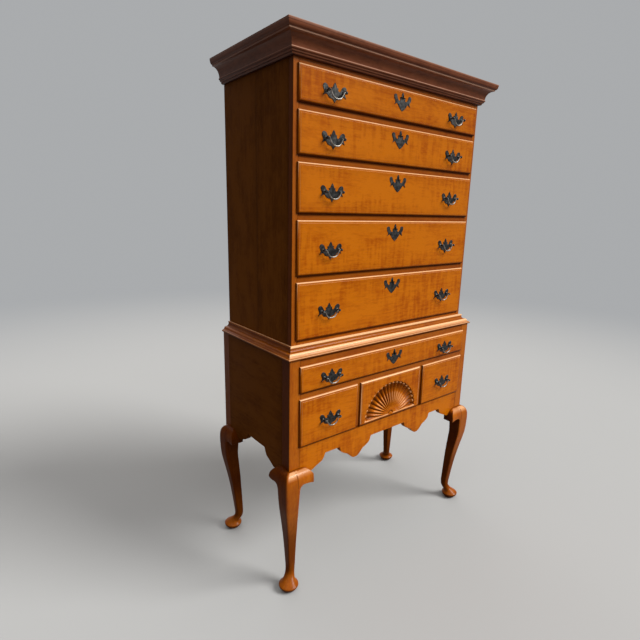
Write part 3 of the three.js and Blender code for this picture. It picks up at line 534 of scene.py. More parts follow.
def sized(reach: float, rise: float) -> Callable[[float, float], Point]:
    """Gives a moulding's points from their shares of its reach and of its rise."""
    return lambda out, up: (out * reach, up * rise)


def plain_shade(stain: float) -> Shade:
    """One painted shade all over a timber."""
    return lambda place, way: stain


def sides_dark(place: Vector, way: Vector) -> float:
    """Painted shade on a timber's left and right faces, which stand in shade, while its front is bright."""
    return eased(abs(way.x), 0.55, 0.85)


def banded(marks: Sequence[Point], foot: float, rise: float, stain: float = 0.0) -> Shade:
    """The lines of painted highlight and painted shade along a moulding.

    Args:
        marks: rising shares of its height, each with painted shade above 0 or painted highlight below 0.
        foot: the height of its foot.
        rise: its own height.
        stain: painted shade that lies over all of it.

    Returns:
        The shade function.
    """

    def shade(place: Vector, way: Vector) -> float:
        mark = blended(marks, (place.z - foot) / rise)
        return max(mark, stain) if mark >= 0 else mark * (1 - stain) + stain * 0.6

    return shade


def under_edge(bm: Mesh, height: float, drops: Point, dirt: float = 0.95, below: float = 0.0) -> Shade:
    """Cuts level lines round a timber, which keeps its shape, to carry the painted shadow under an edge.

    Args:
        bm: the timber.
        height: the height of the edge that stands out over it.
        drops: how far below the edge the painted shadow is still full, and how far below it has faded.
        dirt: the painted shadow's strength.
        below: the painted shade of the rest.

    Returns:
        The timber's shade function.
    """
    line, fade = drops
    for drop in drops:
        cut(bm, (0, 0, height - drop), (0, 0, 1))
    return banded(((height - fade, below), (height - line, dirt)), 0.0, 1.0)


def scatter(key: str) -> float:
    """A number from 0 to 1 that belongs to a name and is the same on each run."""
    total = 0
    for letter in key:
        total = (total * 131 + ord(letter)) % 1000003
    return total / 1000003


def picked(items: Iterable[object], kind: type) -> list:
    """The verts, the edges or the faces among what an operator gives back."""
    return [item for item in items if isinstance(item, kind)]


def cut(bm: Mesh, point: Sequence[float], normal: Sequence[float], clear: bool = False) -> list:
    """Cuts a mesh along a plane.

    Args:
        bm: the mesh.
        point: a point on the plane.
        normal: the plane's normal.
        clear: whether what lies beyond the plane is cut away.

    Returns:
        The edges on the plane.
    """
    made = bmesh.ops.bisect_plane(
        bm,
        geom=bm.verts[:] + bm.edges[:] + bm.faces[:],
        plane_co=point,
        plane_no=normal,
        clear_outer=clear,
        dist=MERGE / 10,
    )
    return picked(made["geom_cut"], bmesh.types.BMEdge)


def grown(bm: Mesh, edges: Sequence[bmesh.types.BMEdge]) -> tuple[list, list]:
    """Extrudes edges where they lie, and gives the new vertices and the new edges."""
    made = bmesh.ops.extrude_edge_only(bm, edges=edges)["geom"]
    return picked(made, bmesh.types.BMVert), picked(made, bmesh.types.BMEdge)


def outward(bm: Mesh) -> Mesh:
    """Turns a mesh's faces outwards, and gives it back."""
    bmesh.ops.recalc_face_normals(bm, faces=bm.faces)
    return bm


def shifted(bm: Mesh, move: Sequence[float]) -> Mesh:
    """Moves a mesh, and gives it back."""
    bmesh.ops.translate(bm, vec=move, verts=bm.verts)
    return bm


def block(lo: Sequence[float], hi: Sequence[float], ease: float, segments: int = 2) -> Mesh:
    """Makes a board with eased edges.

    Args:
        lo: its lowest corner.
        hi: its highest corner.
        ease: width of the rounding.
        segments: flats of the rounding.

    Returns:
        The board.
    """
    bm = bmesh.new()
    bmesh.ops.create_cube(bm, size=1.0)
    size = [b - a for a, b in zip(lo, hi)]
    middle = [(a + b) / 2 for a, b in zip(lo, hi)]
    bmesh.ops.scale(bm, vec=size, verts=bm.verts)
    shifted(bm, middle)
    soften(bm, bm.edges[:], min(ease, min(size) / 3), segments)
    return bm


def soften(bm: Mesh, edges: Sequence[bmesh.types.BMEdge], width: float, segments: int = 2) -> None:
    """Rounds edges over by a width, in a number of flats."""
    bmesh.ops.bevel(
        bm,
        geom=list(edges),
        offset=width,
        segments=segments,
        profile=0.5,
        affect="EDGES",
        clamp_overlap=True,
        material=-1,
    )


def soften_rims(bm: Mesh, facing: Facing, width: float) -> None:
    """Rounds the rims of both faces of a flat piece, whose outline lies in the facing's plane."""
    w = facing.value[2]
    soften(bm, [edge for edge in bm.edges if abs(edge.verts[0].co[w] - edge.verts[1].co[w]) < MERGE], width)


def plate(outline: Sequence[Point], facing: Facing, start: float, end: float) -> Mesh:
    """Makes a flat piece of an outline.

    Args:
        outline: its corners, in order.
        facing: the plane of the outline.
        start: the place of its first face along the third axis.
        end: the place of its second face.

    Returns:
        The piece.
    """
    u, v, w = facing.value
    bm = bmesh.new()
    verts = []
    for point in outline:
        place = [0.0, 0.0, 0.0]
        place[u], place[v], place[w] = point[0], point[1], start
        verts.append(bm.verts.new(place))
    edges = [bm.edges.new(pair) for pair in zip(verts, [*verts[1:], verts[0]])]
    face = bmesh.ops.contextual_create(bm, geom=edges)["faces"]
    second = bmesh.ops.extrude_face_region(bm, geom=face)["geom"]
    for vert in picked(second, bmesh.types.BMVert):
        vert.co[w] = end
    return outward(bm)


def loft(rings: Sequence[Sequence[Vector]]) -> Mesh:
    """Makes a closed form through rings.

    Args:
        rings: the rings in order, each with the same number of points.

    Returns:
        The form.
    """
    bm = bmesh.new()
    loops = []
    count = len(rings[0])
    for k, ring in enumerate(rings):
        capped = k in (0, len(rings) - 1)
        made = bmesh.ops.create_circle(bm, cap_ends=capped, segments=count, radius=1.0)["verts"]
        for vert, point in zip(made, ring):
            vert.co = point
        loops.append(list({edge for vert in made for edge in vert.link_edges}))
    for first, second in zip(loops, loops[1:]):
        bmesh.ops.bridge_loops(bm, edges=first + second)
    return outward(bm)


def turned(profile: Sequence[Point], steps: int) -> Mesh:
    """Makes a turned form round the Y axis.

    Args:
        profile: (radius, place along Y) from one end to the other.
        steps: flats round it.

    Returns:
        The form.
    """
    bm = bmesh.new()
    verts = [bm.verts.new((radius, place, 0.0)) for radius, place in profile]
    edges = [bm.edges.new(pair) for pair in zip(verts, verts[1:])]
    bmesh.ops.spin(
        bm,
        geom=verts + edges,
        axis=(0, 1, 0),
        angle=2 * math.pi,
        steps=steps,
        use_merge=True,
    )
    bmesh.ops.remove_doubles(bm, verts=bm.verts, dist=MERGE)
    return outward(bm)


def mitred(bm: Mesh, corner: Vector, normal: Vector) -> None:
    """Cuts off a length's end beyond a plane through the corner, and closes the cut."""
    bmesh.ops.contextual_create(bm, geom=cut(bm, corner, normal, clear=True))
    outward(bm)


class Workshop:
    """Gathers the parts of one visible piece and hands it over finished."""

    BROAD = 25.0
    ALIKE = 0.6
    CREASE = 32.0
    SEED_SPREAD = 10
    TONE_SPREAD = 0.12

    def __init__(self, name: str, finish: Finish) -> None:
        """Starts a piece of one finish."""
        self.name = name
        self.material, self.slot = finish
        self.bm = bmesh.new()
        for layer in ("spot", "half"):
            self.bm.verts.layers.float_vector.new(layer)
        for layer in ("seed", "tone"):
            self.bm.verts.layers.float.new(layer)
        self.bm.loops.layers.float.new("shade")

    def add(
        self,
        part: Mesh,
        fibre: Fibre = Fibre.ACROSS,
        key: str = "",
        tone: float = 0.0,
        shade: Shade = plain_shade(0.0),
    ) -> None:
        """Adds a part as a timber of its own.

        Args:
            part: its mesh, which is used up.
            fibre: the way its fibres run.
            key: words that tell its grain from that of the piece's other timbers.
            tone: how much deeper its colour is.
            shade: gives each place's painted shade, or its painted highlight as a value below 0.
        """
        lo = Vector([min(vert.co[k] for vert in part.verts) for k in range(3)])
        hi = Vector([max(vert.co[k] for vert in part.verts) for k in range(3)])
        size, middle = hi - lo, (lo + hi) / 2
        rest = sorted((k for k in range(3) if k != fibre.value), key=lambda k: size[k])
        order = (fibre.value, rest[1], rest[0])
        spot = part.verts.layers.float_vector.new("spot")
        half = part.verts.layers.float_vector.new("half")
        seed = part.verts.layers.float.new("seed")
        depth = part.verts.layers.float.new("tone")
        # this layer carries painted shade above 0 and painted highlight below 0
        stain = part.loops.layers.float.new("shade")
        part.normal_update()
        own = scatter(self.name + key)
        for vert in part.verts:
            place = vert.co - middle
            vert[spot] = Vector([place[k] for k in order])
            vert[half] = Vector([size[k] / 2 for k in order])
            vert[seed] = own * self.SEED_SPREAD
            vert[depth] = tone + (own - 0.5) * self.TONE_SPREAD
        for face in part.faces:
            for loop in face.loops:
                ways = [other.normal for other in loop.vert.link_faces]
                alike = [way for way in ways if way.dot(face.normal) > self.ALIKE]
                loop[stain] = shade(loop.vert.co, sum(alike, Vector()).normalized())
        mesh = bpy.data.meshes.new("part")
        part.to_mesh(mesh)
        part.free()
        self.bm.from_mesh(mesh)
        bpy.data.meshes.remove(mesh)

    def hand_over(
        self, body: str, nodes: Iterable[str] = (), crease: float = CREASE, levels: int = 0
    ) -> None:
        """Makes the piece's object.

        Args:
            body: the body that it moves with.
            nodes: the nodes of the construction that it stands for.
            crease: the angle in degrees from which an edge stays sharp.
            levels: levels of subdivision.
        """
        limit = math.radians(crease)
        for face in self.bm.faces:
            face.smooth = True
        for edge in self.bm.edges:
            faces = edge.link_faces
            if len(faces) == 2:
                areas = sorted(face.calc_area() for face in faces)
                broad = areas[1] > self.BROAD * areas[0]
                edge.smooth = edge.calc_face_angle(0.0) < limit and not broad
        mesh = bpy.data.meshes.new(self.name)
        self.bm.to_mesh(mesh)
        self.bm.free()
        mesh.materials.append(self.material)
        piece = bpy.data.objects.new(self.name, mesh)
        bpy.context.scene.collection.objects.link(piece)
        if levels:
            smooth = piece.modifiers.new("smooth", "SUBSURF")
            smooth.levels = levels
            smooth.render_levels = levels
        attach(piece, body)
        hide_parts(*nodes)
        LOG.info("made %s", self.name)


def one_timber(
    name: str,
    finish: Finish,
    body: str,
    part: Mesh,
    nodes: Iterable[str] = (),
    crease: float = Workshop.CREASE,
    **timber: object,
) -> None:
    """Makes a piece of one timber.

    Args:
        name: the piece's name.
        finish: its finish.
        body: the body that it moves with.
        part: the timber's mesh.
        nodes: the nodes of the construction that it stands for.
        crease: the angle in degrees from which an edge stays sharp.
        timber: its fibre, key, tone and shade, as for a workshop's add.
    """
    shop = Workshop(name, finish)
    shop.add(part, **timber)
    shop.hand_over(body, nodes, crease)


@dataclass
class Cornice:
    """The mitred cornice and the sunk boards of the flat top."""

    finishes: Finishes
    slack: float = 0.0003
    ease: float = 0.0006
    lap: float = 0.012
    board_thickness: float = 0.014
    board_sink: float = 0.007
    joint_share: float = 0.54
    flats: int = 7
    side_stain: float = 0.35
    # painted light by share of the height: painted shade above 0 in the quirks, on the cove's foot, on the
    # crown and in the shadow line at the foot; painted highlight below 0 on the fillet, the step and the top
    # edge
    marks: tuple[Point, ...] = (
        (0.0, 1.0), (0.02, 0.6), (0.045, -0.1), (0.07, 0.25), (0.08, 1.0), (0.095, 0.3), (0.12, -0.2),
        (0.15, 0.3), (0.168, 1.0), (0.185, 0.1), (0.215, 0.0), (0.23, -1.0), (0.24, -0.6), (0.26, 0.4),
        (0.5, 0.1), (0.66, 0.0), (0.685, -0.3), (0.7, -0.9), (0.735, -0.35), (0.76, 0.5), (0.85, 0.4),
        (0.91, 0.35), (0.985, 0.3), (0.992, -0.3), (1.0, 0.25),
    )

    def build(self) -> None:
        """Makes the three lengths and the top boards."""
        whole, case = Span.of("cornice"), Span.of("upper_face_frame")
        reach, rise = whole.hi.x - case.hi.x, whole.hi.z - whole.lo.z
        lengths = MitredSet(case.hi.x, case.lo.y, whole.hi.y, reach, self.lap)
        for side, length in lengths.build(self.profile(reach, rise), whole.lo.z).items():
            # the side lengths, which stand in shade, get painted shade over them
            shade = banded(self.marks, whole.lo.z, rise, 0.0 if side == "front" else self.side_stain)
            lengths.hand_over("cornice", side, length, self.finishes.cornice, "upper_case", shade=shade)
        self.top_boards(whole, case)

    def profile(self, reach: float, rise: float) -> list[Point]:
        """The cornice's section.

        Args:
            reach: how far it stands out.
            rise: its height.

        Returns:
            Outward and upward places, from the foot of the inner face round to its top.
        """
        at = sized(reach, rise)
        low_bead = arc(at(0.1, 0.0), at(0.22, 0.075), at(0.22, 0.0), self.flats)
        high_bead = arc(at(0.2, 0.085), at(0.31, 0.155), at(0.31, 0.085), self.flats)
        fillet = [at(0.36, 0.172), at(0.385, 0.215), at(0.39, 0.23)]
        cove = arc(at(0.34, 0.235), at(0.8, 0.68), at(0.34, 0.68), 2 * self.flats)
        step = [at(0.825, 0.69), at(0.832, 0.735)]
        ovolo = arc(at(0.836, 0.742), at(0.985, 0.9), at(0.985, 0.742), self.flats)
        band = [at(1.0, 0.91), at(1.0, 0.992), at(0.985, 1.0)]
        under = rise - self.board_sink - self.board_thickness
        inner = [(-self.lap, rise), (-self.lap, under), (self.slack, under)]
        return [(self.slack, 0.0), *low_bead, *high_bead, *fillet, *cove, *step, *ovolo, *band, *inner]

    def top_boards(self, whole: Span, case: Span) -> None:
        """Makes the boards of the top.

        Args:
            whole: the cornice's space.
            case: the case's space.
        """
        shop = Workshop("top_boards", self.finishes.cornice)
        top = whole.hi.z - self.board_sink
        half, foot = case.hi.x - self.lap, top - self.board_thickness
        front, back = case.lo.y + self.lap, whole.hi.y
        joint = front + (back - front) * self.joint_share
        for key, start, end in (("front", front, joint - self.slack), ("back", joint, back)):
            shop.add(block((-half, start, foot), (half, end, top), self.ease), key=key)
        shop.hand_over("upper_case")


@dataclass
class MitredSet:
    """Three lengths of moulding round a case: left, front and right."""

    half_width: float
    front: float
    back: float
    reach: float
    lap: float
    front_extra: float = 0.0
    overrun: float = 0.05

    def build(self, profile: Sequence[Point], foot: float) -> dict[str, Mesh]:
        """Makes the lengths.

        Args:
            profile: the section, outward and upward.
            foot: the height of its foot.

        Returns:
            Each length by its name.
        """
        far = self.half_width + self.reach + self.overrun
        near = self.front - self.reach - self.front_extra - self.overrun
        section = [
            (self.front - out - (self.front_extra if out > self.lap else 0.0), foot + up)
            for out, up in profile
        ]
        front = plate(section, Facing.SIDE, -far, far)
        lengths = {"front": front}
        for hand in Hand:
            side = [(hand.value * (self.half_width + out), foot + up) for out, up in profile]
            length = plate(side, Facing.FRONT, near, self.back)
            corner = Vector((hand.value * self.half_width, self.front, 0))
            # The mitre runs from the case's corner to the moulding's outer corner.
            across = Vector((hand.value * (self.reach + self.front_extra), self.reach, 0)).normalized()
            mitred(length, corner, -across)
            mitred(front, corner, across)
            lengths[hand.name.lower()] = length
        return lengths

    @staticmethod
    def hand_over(kind: str, side: str, length: Mesh, finish: Finish, body: str, **timber: object) -> None:
        """Makes one length's piece; the front one stands for the moulding's node, its kind."""
        fibre, nodes = (Fibre.ACROSS, [kind]) if side == "front" else (Fibre.BACK, [])
        one_timber(f"{kind}_{side}", finish, body, length, nodes, fibre=fibre, **timber)


@dataclass
class WaistMoulding:
    """The moulding that holds the upper case's foot, and the lower case's top rail."""

    finishes: Finishes
    slack: float = 0.0005
    gap: float = 0.0003
    ease: float = 0.0006
    rail_depth: float = 0.06
    flats: int = 8
    tone: float = 0.1
    line_drops: Point = (0.0045, 0.0085)
    # painted light by share of the height: painted shadow at the foot and painted shade on the cove above 0,
    # painted highlight below 0 on the beads, the hollow and the ovolo
    marks: tuple[Point, ...] = (
        (0.0, 1.0), (0.02, 0.8), (0.1, -0.2), (0.15, -0.85), (0.175, 0.3), (0.2, -0.3), (0.33, -0.5),
        (0.37, -0.95), (0.49, -0.75), (0.51, 0.4), (0.7, 0.25), (0.83, 0.1), (0.86, -0.4), (0.9, -0.75),
        (1.0, -0.8),
    )
    # the side lengths stand in shade: more painted shade, and fainter painted highlight on the beads
    side_marks: tuple[Point, ...] = (
        (0.0, 1.0), (0.02, 0.9), (0.1, 0.3), (0.15, -0.4), (0.19, 0.5), (0.33, 0.35), (0.49, 0.3),
        (0.51, 0.85), (0.83, 0.8), (0.87, 0.5), (0.96, 0.2), (1.0, -0.5),
    )

    def build(self) -> None:
        """Makes the three lengths and the rail."""
        whole, upper = Span.of("waist_moulding"), Span.of("upper_face_frame")
        foot = Span.of("lower_side_left", "lower_side_right").hi.z + self.gap
        reach, rise = whole.hi.x - upper.hi.x, whole.hi.z - foot
        extra = upper.lo.y - whole.lo.y - reach
        lengths = MitredSet(upper.hi.x, upper.lo.y, whole.hi.y, reach, self.slack, extra)
        for side, length in lengths.build(self.profile(reach, rise), foot).items():
            shade = banded(self.marks if side == "front" else self.side_marks, foot, rise)
            look = {"tone": self.tone, "shade": shade}
            lengths.hand_over("waist_moulding", side, length, self.finishes.frame, "lower_case", **look)
        front = Span.of("lower_front_frame")
        lo = (front.lo.x, front.lo.y, whole.lo.z)
        board = block(lo, (front.hi.x, front.lo.y + self.rail_depth, foot), self.ease)
        # painted shadow on the rail under the moulding's foot
        shade = under_edge(board, foot, self.line_drops, 1.0)
        one_timber("lower_top_rail", self.finishes.frame, "lower_case", board, shade=shade)

    def profile(self, reach: float, rise: float) -> list[Point]:
        """The waist moulding's section.

        Args:
            reach: how far it stands out from the upper case at the sides.
            rise: its height.

        Returns:
            Outward and upward places, from the foot of the inner face round to its top.
        """
        at = sized(reach, rise)
        bead = [at(0.975, 0.0), at(0.99, 0.02), at(1.0, 0.085), at(0.985, 0.15), at(0.9, 0.175)]
        hollow = arc(at(0.9, 0.2), at(0.7, 0.33), at(0.7, 0.2), self.flats // 2)
        ovolo = arc(at(0.7, 0.33), at(0.47, 0.5), at(0.7, 0.5), self.flats)[1:]
        cove = arc(at(0.42, 0.51), at(0.14, 0.83), at(0.14, 0.51), self.flats)
        top_bead = arc(at(0.19, 0.86), at(0.13, 1.0), at(0.19, 1.0), self.flats // 2)
        return [(self.slack, 0.0), *bead, *hollow, *ovolo, *cove, *top_bead, (self.slack, rise)]


@dataclass
class UpperCase:
    """The upper case's boards: sides, back, stiles, rails and blades."""

    finishes: Finishes
    ease: float = 0.0006
    joint_ease: float = 0.0004
    arris: float = 0.0012
    back_ease: float = 0.0015
    gap: float = 0.0003
    side_thickness: float = 0.02
    joint_share: float = 0.46
    stile_width: float = 0.02
    stile_thickness: float = 0.022
    blade_depth: float = 0.06
    lip_overlap: float = 0.005
    runner_thickness: float = 0.018
    runner_width: float = 0.028
    back_boards: int = 5
    tone: float = 0.1
    rail_dirt: float = 0.4
    blade_dirt: float = 0.2
    line_drops: Point = (0.0048, 0.009)

    def build(self) -> None:
        """Makes every board of the upper case."""
        self.face = Span.of("upper_face_frame")
        self.back = Span.of("upper_back")
        self.lips = [Span.of(f"drawer_u{k}_front") for k in range(1, 6)]
        for hand in Hand:
            self.side(hand)
            self.stile(hand)
        self.rails()
        self.bottom_board()
        self.back_panel()

    def side(self, hand: Hand) -> None:
        """Makes a side of two glued boards, with its runners.

        Args:
            hand: which side.
        """
        name = f"upper_side_{hand.name.lower()}"
        whole = Span.of(name)
        shop = Workshop(name, self.finishes.case)
        outer, inner = self.face.hi.x, self.face.hi.x - self.side_thickness
        joint = whole.lo.y + (whole.hi.y - whole.lo.y) * self.joint_share
        x0, x1 = hand.between(inner, outer)
        for key, start, end in (("front", whole.lo.y, joint), ("back", joint, whole.hi.y)):
            board = block((x0, start, whole.lo.z), (x1, end, whole.hi.z), self.joint_ease)
            shop.add(board, Fibre.UP, key)
        x0, x1 = hand.between(inner - self.runner_width, inner)
        start = self.face.lo.y + self.blade_depth + self.gap
        end = Span.of("drawer_u1_box").hi.y
        for k, lip in enumerate(self.lips[:-1]):
            top = lip.lo.z + self.lip_overlap
            lo, hi = (x0, start, top - self.runner_thickness), (x1, end, top)
            shop.add(block(lo, hi, self.ease), Fibre.BACK, f"runner{k}", self.tone)
        shop.hand_over("upper_case", [name])

    def stile(self, hand: Hand) -> None:
        """Makes the stile of one side."""
        x0, x1 = hand.between(self.face.hi.x - self.stile_width, self.face.hi.x)
        front, back = self.face.lo.y, self.face.lo.y + self.stile_thickness
        board = block((x0, front, self.face.lo.z), (x1, back, self.face.hi.z), self.arris, 3)
        name = f"upper_stile_{hand.name.lower()}"
        # painted shade on the stile's side faces
        one_timber(name, self.finishes.frame, "upper_case", board, fibre=Fibre.UP, shade=sides_dark)

    def rails(self) -> None:
        """Makes the top rail, the blades and the foot rail."""
        half = self.face.hi.x - self.stile_width - self.gap / 2
        edges = [self.face.hi.z]
        for lip in self.lips:
            edges += [lip.hi.z - self.lip_overlap, lip.lo.z + self.lip_overlap]
        edges.append(self.face.lo.z)
        for k, name in enumerate(["top_rail", *[f"blade_{k}" for k in range(1, 5)], "foot_rail"]):
            depth = self.stile_thickness if name == "foot_rail" else self.blade_depth
            lo = (-half, self.face.lo.y, edges[2 * k + 1])
            board = block(lo, (half, self.face.lo.y + depth, edges[2 * k]), self.ease)
            # painted shade on the top rail under the cornice; on each blade, a painted shadow under the lip
            # above and a lighter painted shade below it
            shade = plain_shade(self.rail_dirt)
            if k:
                lip_foot = edges[2 * k] - self.lip_overlap
                shade = under_edge(board, lip_foot, self.line_drops, below=self.blade_dirt)
            nodes = [] if k else ["upper_face_frame"]
            one_timber(f"upper_{name}", self.finishes.frame, "upper_case", board, nodes, shade=shade)

    def bottom_board(self) -> None:
        """Makes the board that the lowest drawer runs on."""
        half = self.face.hi.x - self.side_thickness - self.gap
        top = self.lips[-1].lo.z + self.lip_overlap
        lo = (-half, self.face.lo.y + self.stile_thickness, top - self.runner_thickness)
        board = block(lo, (half, self.face.hi.y, top), self.ease)
        one_timber("upper_bottom_board", self.finishes.pine, "upper_case", board)

    def back_panel(self) -> None:
        """Makes the upright back boards."""
        shop = Workshop("upper_back_boards", self.finishes.pine)
        lo, hi = self.back.lo, self.back.hi
        width = (hi.x - lo.x) / self.back_boards
        for k in range(self.back_boards):
            x0, x1 = lo.x + k * width + self.gap, lo.x + (k + 1) * width - self.gap
            board = block((x0, lo.y, lo.z), (x1, hi.y, hi.z), self.back_ease)
            shop.add(board, Fibre.UP, str(k), self.tone * (k % 2))
        shop.hand_over("upper_case", ["upper_back"])


@dataclass
class Scallops:
    """The shaped lower edges of the lower case."""

    crown_drop: float = 0.058
    side_crown_drop: float = 0.055
    end_drop: float = 0.105
    drop_place: float = 0.174
    drop_reach: float = 0.08
    drop_depth: float = 0.065
    flank_reach: float = 0.06
    knee_span: float = 0.098
    rear_tuck: float = 0.0244
    steps: int = 5
    drop_shares: tuple[Point, ...] = (
        (0.0, 0.0), (0.14, 0.03), (0.3, 0.17), (0.46, 0.37), (0.64, 0.48), (0.84, 0.62), (0.93, 0.76),
        (0.97, 0.93),
    )
    flank_shares: tuple[Point, ...] = (
        (0.0, 0.0), (0.26, 0.17), (0.52, 0.32), (0.74, 0.46), (0.88, 0.66), (0.93, 0.82),
    )

    def front(self, half_width: float, corner: float, row_foot: float) -> list[Point]:
        """The whole lower edge of the front apron.

        Args:
            half_width: half of the apron's width.
            corner: half of the lower case's width.
            row_foot: height of the lowest drawer fronts' lower edge.

        Returns:
            Its points from left to right.
        """
        crown = row_foot - self.crown_drop
        tip = crown - self.drop_depth
        low = row_foot - self.end_drop

        def drop(sign: int) -> list[Point]:
            return [
                (self.drop_place + sign * along * self.drop_reach, tip + up * self.drop_depth)
                for along, up in self.drop_shares
            ]

        flank_foot = corner - self.knee_span
        flank = self.flank(flank_foot, -1, low, crown)
        right = [
            (self.drop_place - self.drop_reach, crown),
            *through([*reversed(drop(-1)), *drop(1)[1:]], self.steps),
            (self.drop_place + self.drop_reach, crown),
            (flank_foot - self.flank_reach, crown),
            *through(list(reversed(flank)), self.steps),
            (half_width, low),
        ]
        return [(-x, z) for x, z in reversed(right)] + right

    def side(self, front: float, back: float, post: float, row_foot: float) -> list[Point]:
        """The lower edge of a side board.

        Args:
            front: place of the case's front.
            back: place of the case's back.
            post: from either to the board's end.
            row_foot: height of the lowest drawer fronts' lower edge.

        Returns:
            Its points from front to back.
        """
        crown = row_foot - self.side_crown_drop
        low = row_foot - self.end_drop
        front_foot, back_foot = front + self.knee_span, back - self.knee_span - self.rear_tuck
        return [
            (front + post, low),
            *through(self.flank(front_foot, 1, low, crown), self.steps),
            (front_foot + self.flank_reach, crown),
            (back_foot - self.flank_reach, crown),
            *reversed(through(self.flank(back_foot, -1, low, crown), self.steps)),
            (back - post, low),
        ]

    def flank(self, start: float, sign: int, low: float, high: float) -> list[Point]:
        """The slope from its low start at a leg up to the height of an arch, running the way of the sign."""
        return [
            (start + sign * along * self.flank_reach, low + up * (high - low))
            for along, up in self.flank_shares
        ]


@dataclass
class LowerCase:
    """The lower case's boards: apron, rails, uprights, sides and back."""

    finishes: Finishes
    scallops: Scallops
    ease: float = 0.0006
    apron_ease: float = 0.0009
    side_ease: float = 0.0008
    back_ease: float = 0.001
    gap: float = 0.0003
    post: float = 0.043
    lip_overlap: float = 0.005
    apron_thickness: float = 0.02
    rail_depth: float = 0.06
    side_thickness: float = 0.02
    runner_thickness: float = 0.018
    runner_width: float = 0.028
    guide_height: float = 0.016
    tone: float = 0.1
    line_drops: Point = (0.0028, 0.0065)
    side_stain: float = 0.2

    def build(self) -> None:
        """Makes every board of the lower case."""
        self.front = Span.of("lower_front_frame")
        self.sides = Span.of("lower_side_left", "lower_side_right")
        self.long_lip = Span.of("drawer_l1_front")
        self.row = [Span.of(f"drawer_l{k}_front") for k in (2, 3, 4)]
        self.back = Span.of("lower_back")
        self.row_foot = self.row[0].lo.z
        self.apron()
        self.mid_rail()
        for hand in Hand:
            self.upright(hand)
            self.side(hand)
        self.back_board()

    def apron(self) -> None:
        """Makes the shaped apron."""
        half = self.front.hi.x
        edge = self.scallops.front(half, self.sides.hi.x, self.row_foot)
        top = self.row_foot + self.lip_overlap
        outline = [*edge, (half, top), (-half, top)]
        board = plate(outline, Facing.FRONT, self.front.lo.y, self.front.lo.y + self.apron_thickness)
        soften_rims(board, Facing.FRONT, self.apron_ease)
        # painted shadow on the apron under the lowest drawers' lips
        shade = under_edge(board, self.row_foot, self.line_drops)
        one_timber("apron", self.finishes.figured, "lower_case", board, ["lower_front_frame"], shade=shade)

    def mid_rail(self) -> None:
        """Makes the rail between the long drawer and the row."""
        foot, top = self.row[0].hi.z - self.lip_overlap, self.long_lip.lo.z + self.lip_overlap
        lo = (self.front.lo.x, self.front.lo.y, foot)
        board = block(lo, (self.front.hi.x, self.front.lo.y + self.rail_depth, top), self.ease)
        # painted shadow on the rail under the long drawer's lip
        shade = under_edge(board, self.long_lip.lo.z, self.line_drops)
        one_timber("lower_mid_rail", self.finishes.frame, "lower_case", board, shade=shade)

    def upright(self, hand: Hand) -> None:
        """Makes an upright between two drawers of the row, with the runner and guide behind it.

        Args:
            hand: which side.
        """
        name = hand.name.lower()
        x0, x1 = hand.between(self.row[1].hi.x - self.lip_overlap, self.row[2].lo.x + self.lip_overlap)
        foot, top = self.row_foot + self.lip_overlap, self.row[0].hi.z - self.lip_overlap
        front, deep, end = self.front.lo.y, self.front.lo.y + self.rail_depth, self.front.hi.y
        board = block((x0, front, foot), (x1, deep, top), self.ease)
        one_timber(f"lower_upright_{name}", self.finishes.frame, "lower_case", board, fibre=Fibre.UP)
        shop = Workshop(f"lower_runner_{name}", self.finishes.pine)
        spread = self.runner_width / 2
        lo = (x0 - spread, front + self.apron_thickness, foot - self.runner_thickness)
        shop.add(block(lo, (x1 + spread, end, foot), self.ease), Fibre.BACK, "runner")
        shop.add(block((x0, deep, foot), (x1, end, foot + self.guide_height), self.ease), Fibre.BACK, "guide")
        shop.hand_over("lower_case")

    def side(self, hand: Hand) -> None:
        """Makes a shaped side board, with its runners and guides.

        Args:
            hand: which side.
        """
        name = f"lower_side_{hand.name.lower()}"
        whole = Span.of(name)
        inner, post = self.sides.hi.x - self.side_thickness, self.sides.hi.x - self.post
        edge = self.scallops.side(self.front.lo.y, self.back.hi.y, self.post + self.gap, self.row_foot)
        outline = [*edge, (whole.hi.y, whole.hi.z), (whole.lo.y, whole.hi.z)]
        board = plate(outline, Facing.SIDE, *hand.between(inner, self.sides.hi.x))
        soften_rims(board, Facing.SIDE, self.side_ease)
        # painted shade over the side board, which stands in shade
        shade = plain_shade(self.side_stain)
        one_timber(name, self.finishes.case, "lower_case", board, [name], fibre=Fibre.BACK, shade=shade)
        shop = Workshop(f"{name}_runners", self.finishes.pine)
        start = self.front.lo.y + self.rail_depth + self.gap
        for k, lip in enumerate((self.row[0], self.long_lip)):
            top = lip.lo.z + self.lip_overlap
            x0, x1 = hand.between(post - self.runner_width, inner)
            lo = (x0, start, top - self.runner_thickness)
            shop.add(block(lo, (x1, whole.hi.y, top), self.ease), Fibre.BACK, f"runner{k}")
            x0, x1 = hand.between(post, inner)
            hi = (x1, whole.hi.y, top + self.guide_height)
            shop.add(block((x0, whole.lo.y, top), hi, self.ease), Fibre.BACK, f"guide{k}")
        shop.hand_over("lower_case")

    def back_board(self) -> None:
        """Makes the two boards of the back."""
        shop = Workshop("lower_back_boards", self.finishes.pine)
        lo, hi = self.back.lo, self.back.hi
        joint = (lo.z + hi.z) / 2
        for key, foot, top in (("low", lo.z, joint), ("high", joint, hi.z)):
            shop.add(block((lo.x, lo.y, foot), (hi.x, hi.y, top), self.back_ease), key=key, tone=self.tone)
        shop.hand_over("lower_case", ["lower_back"])


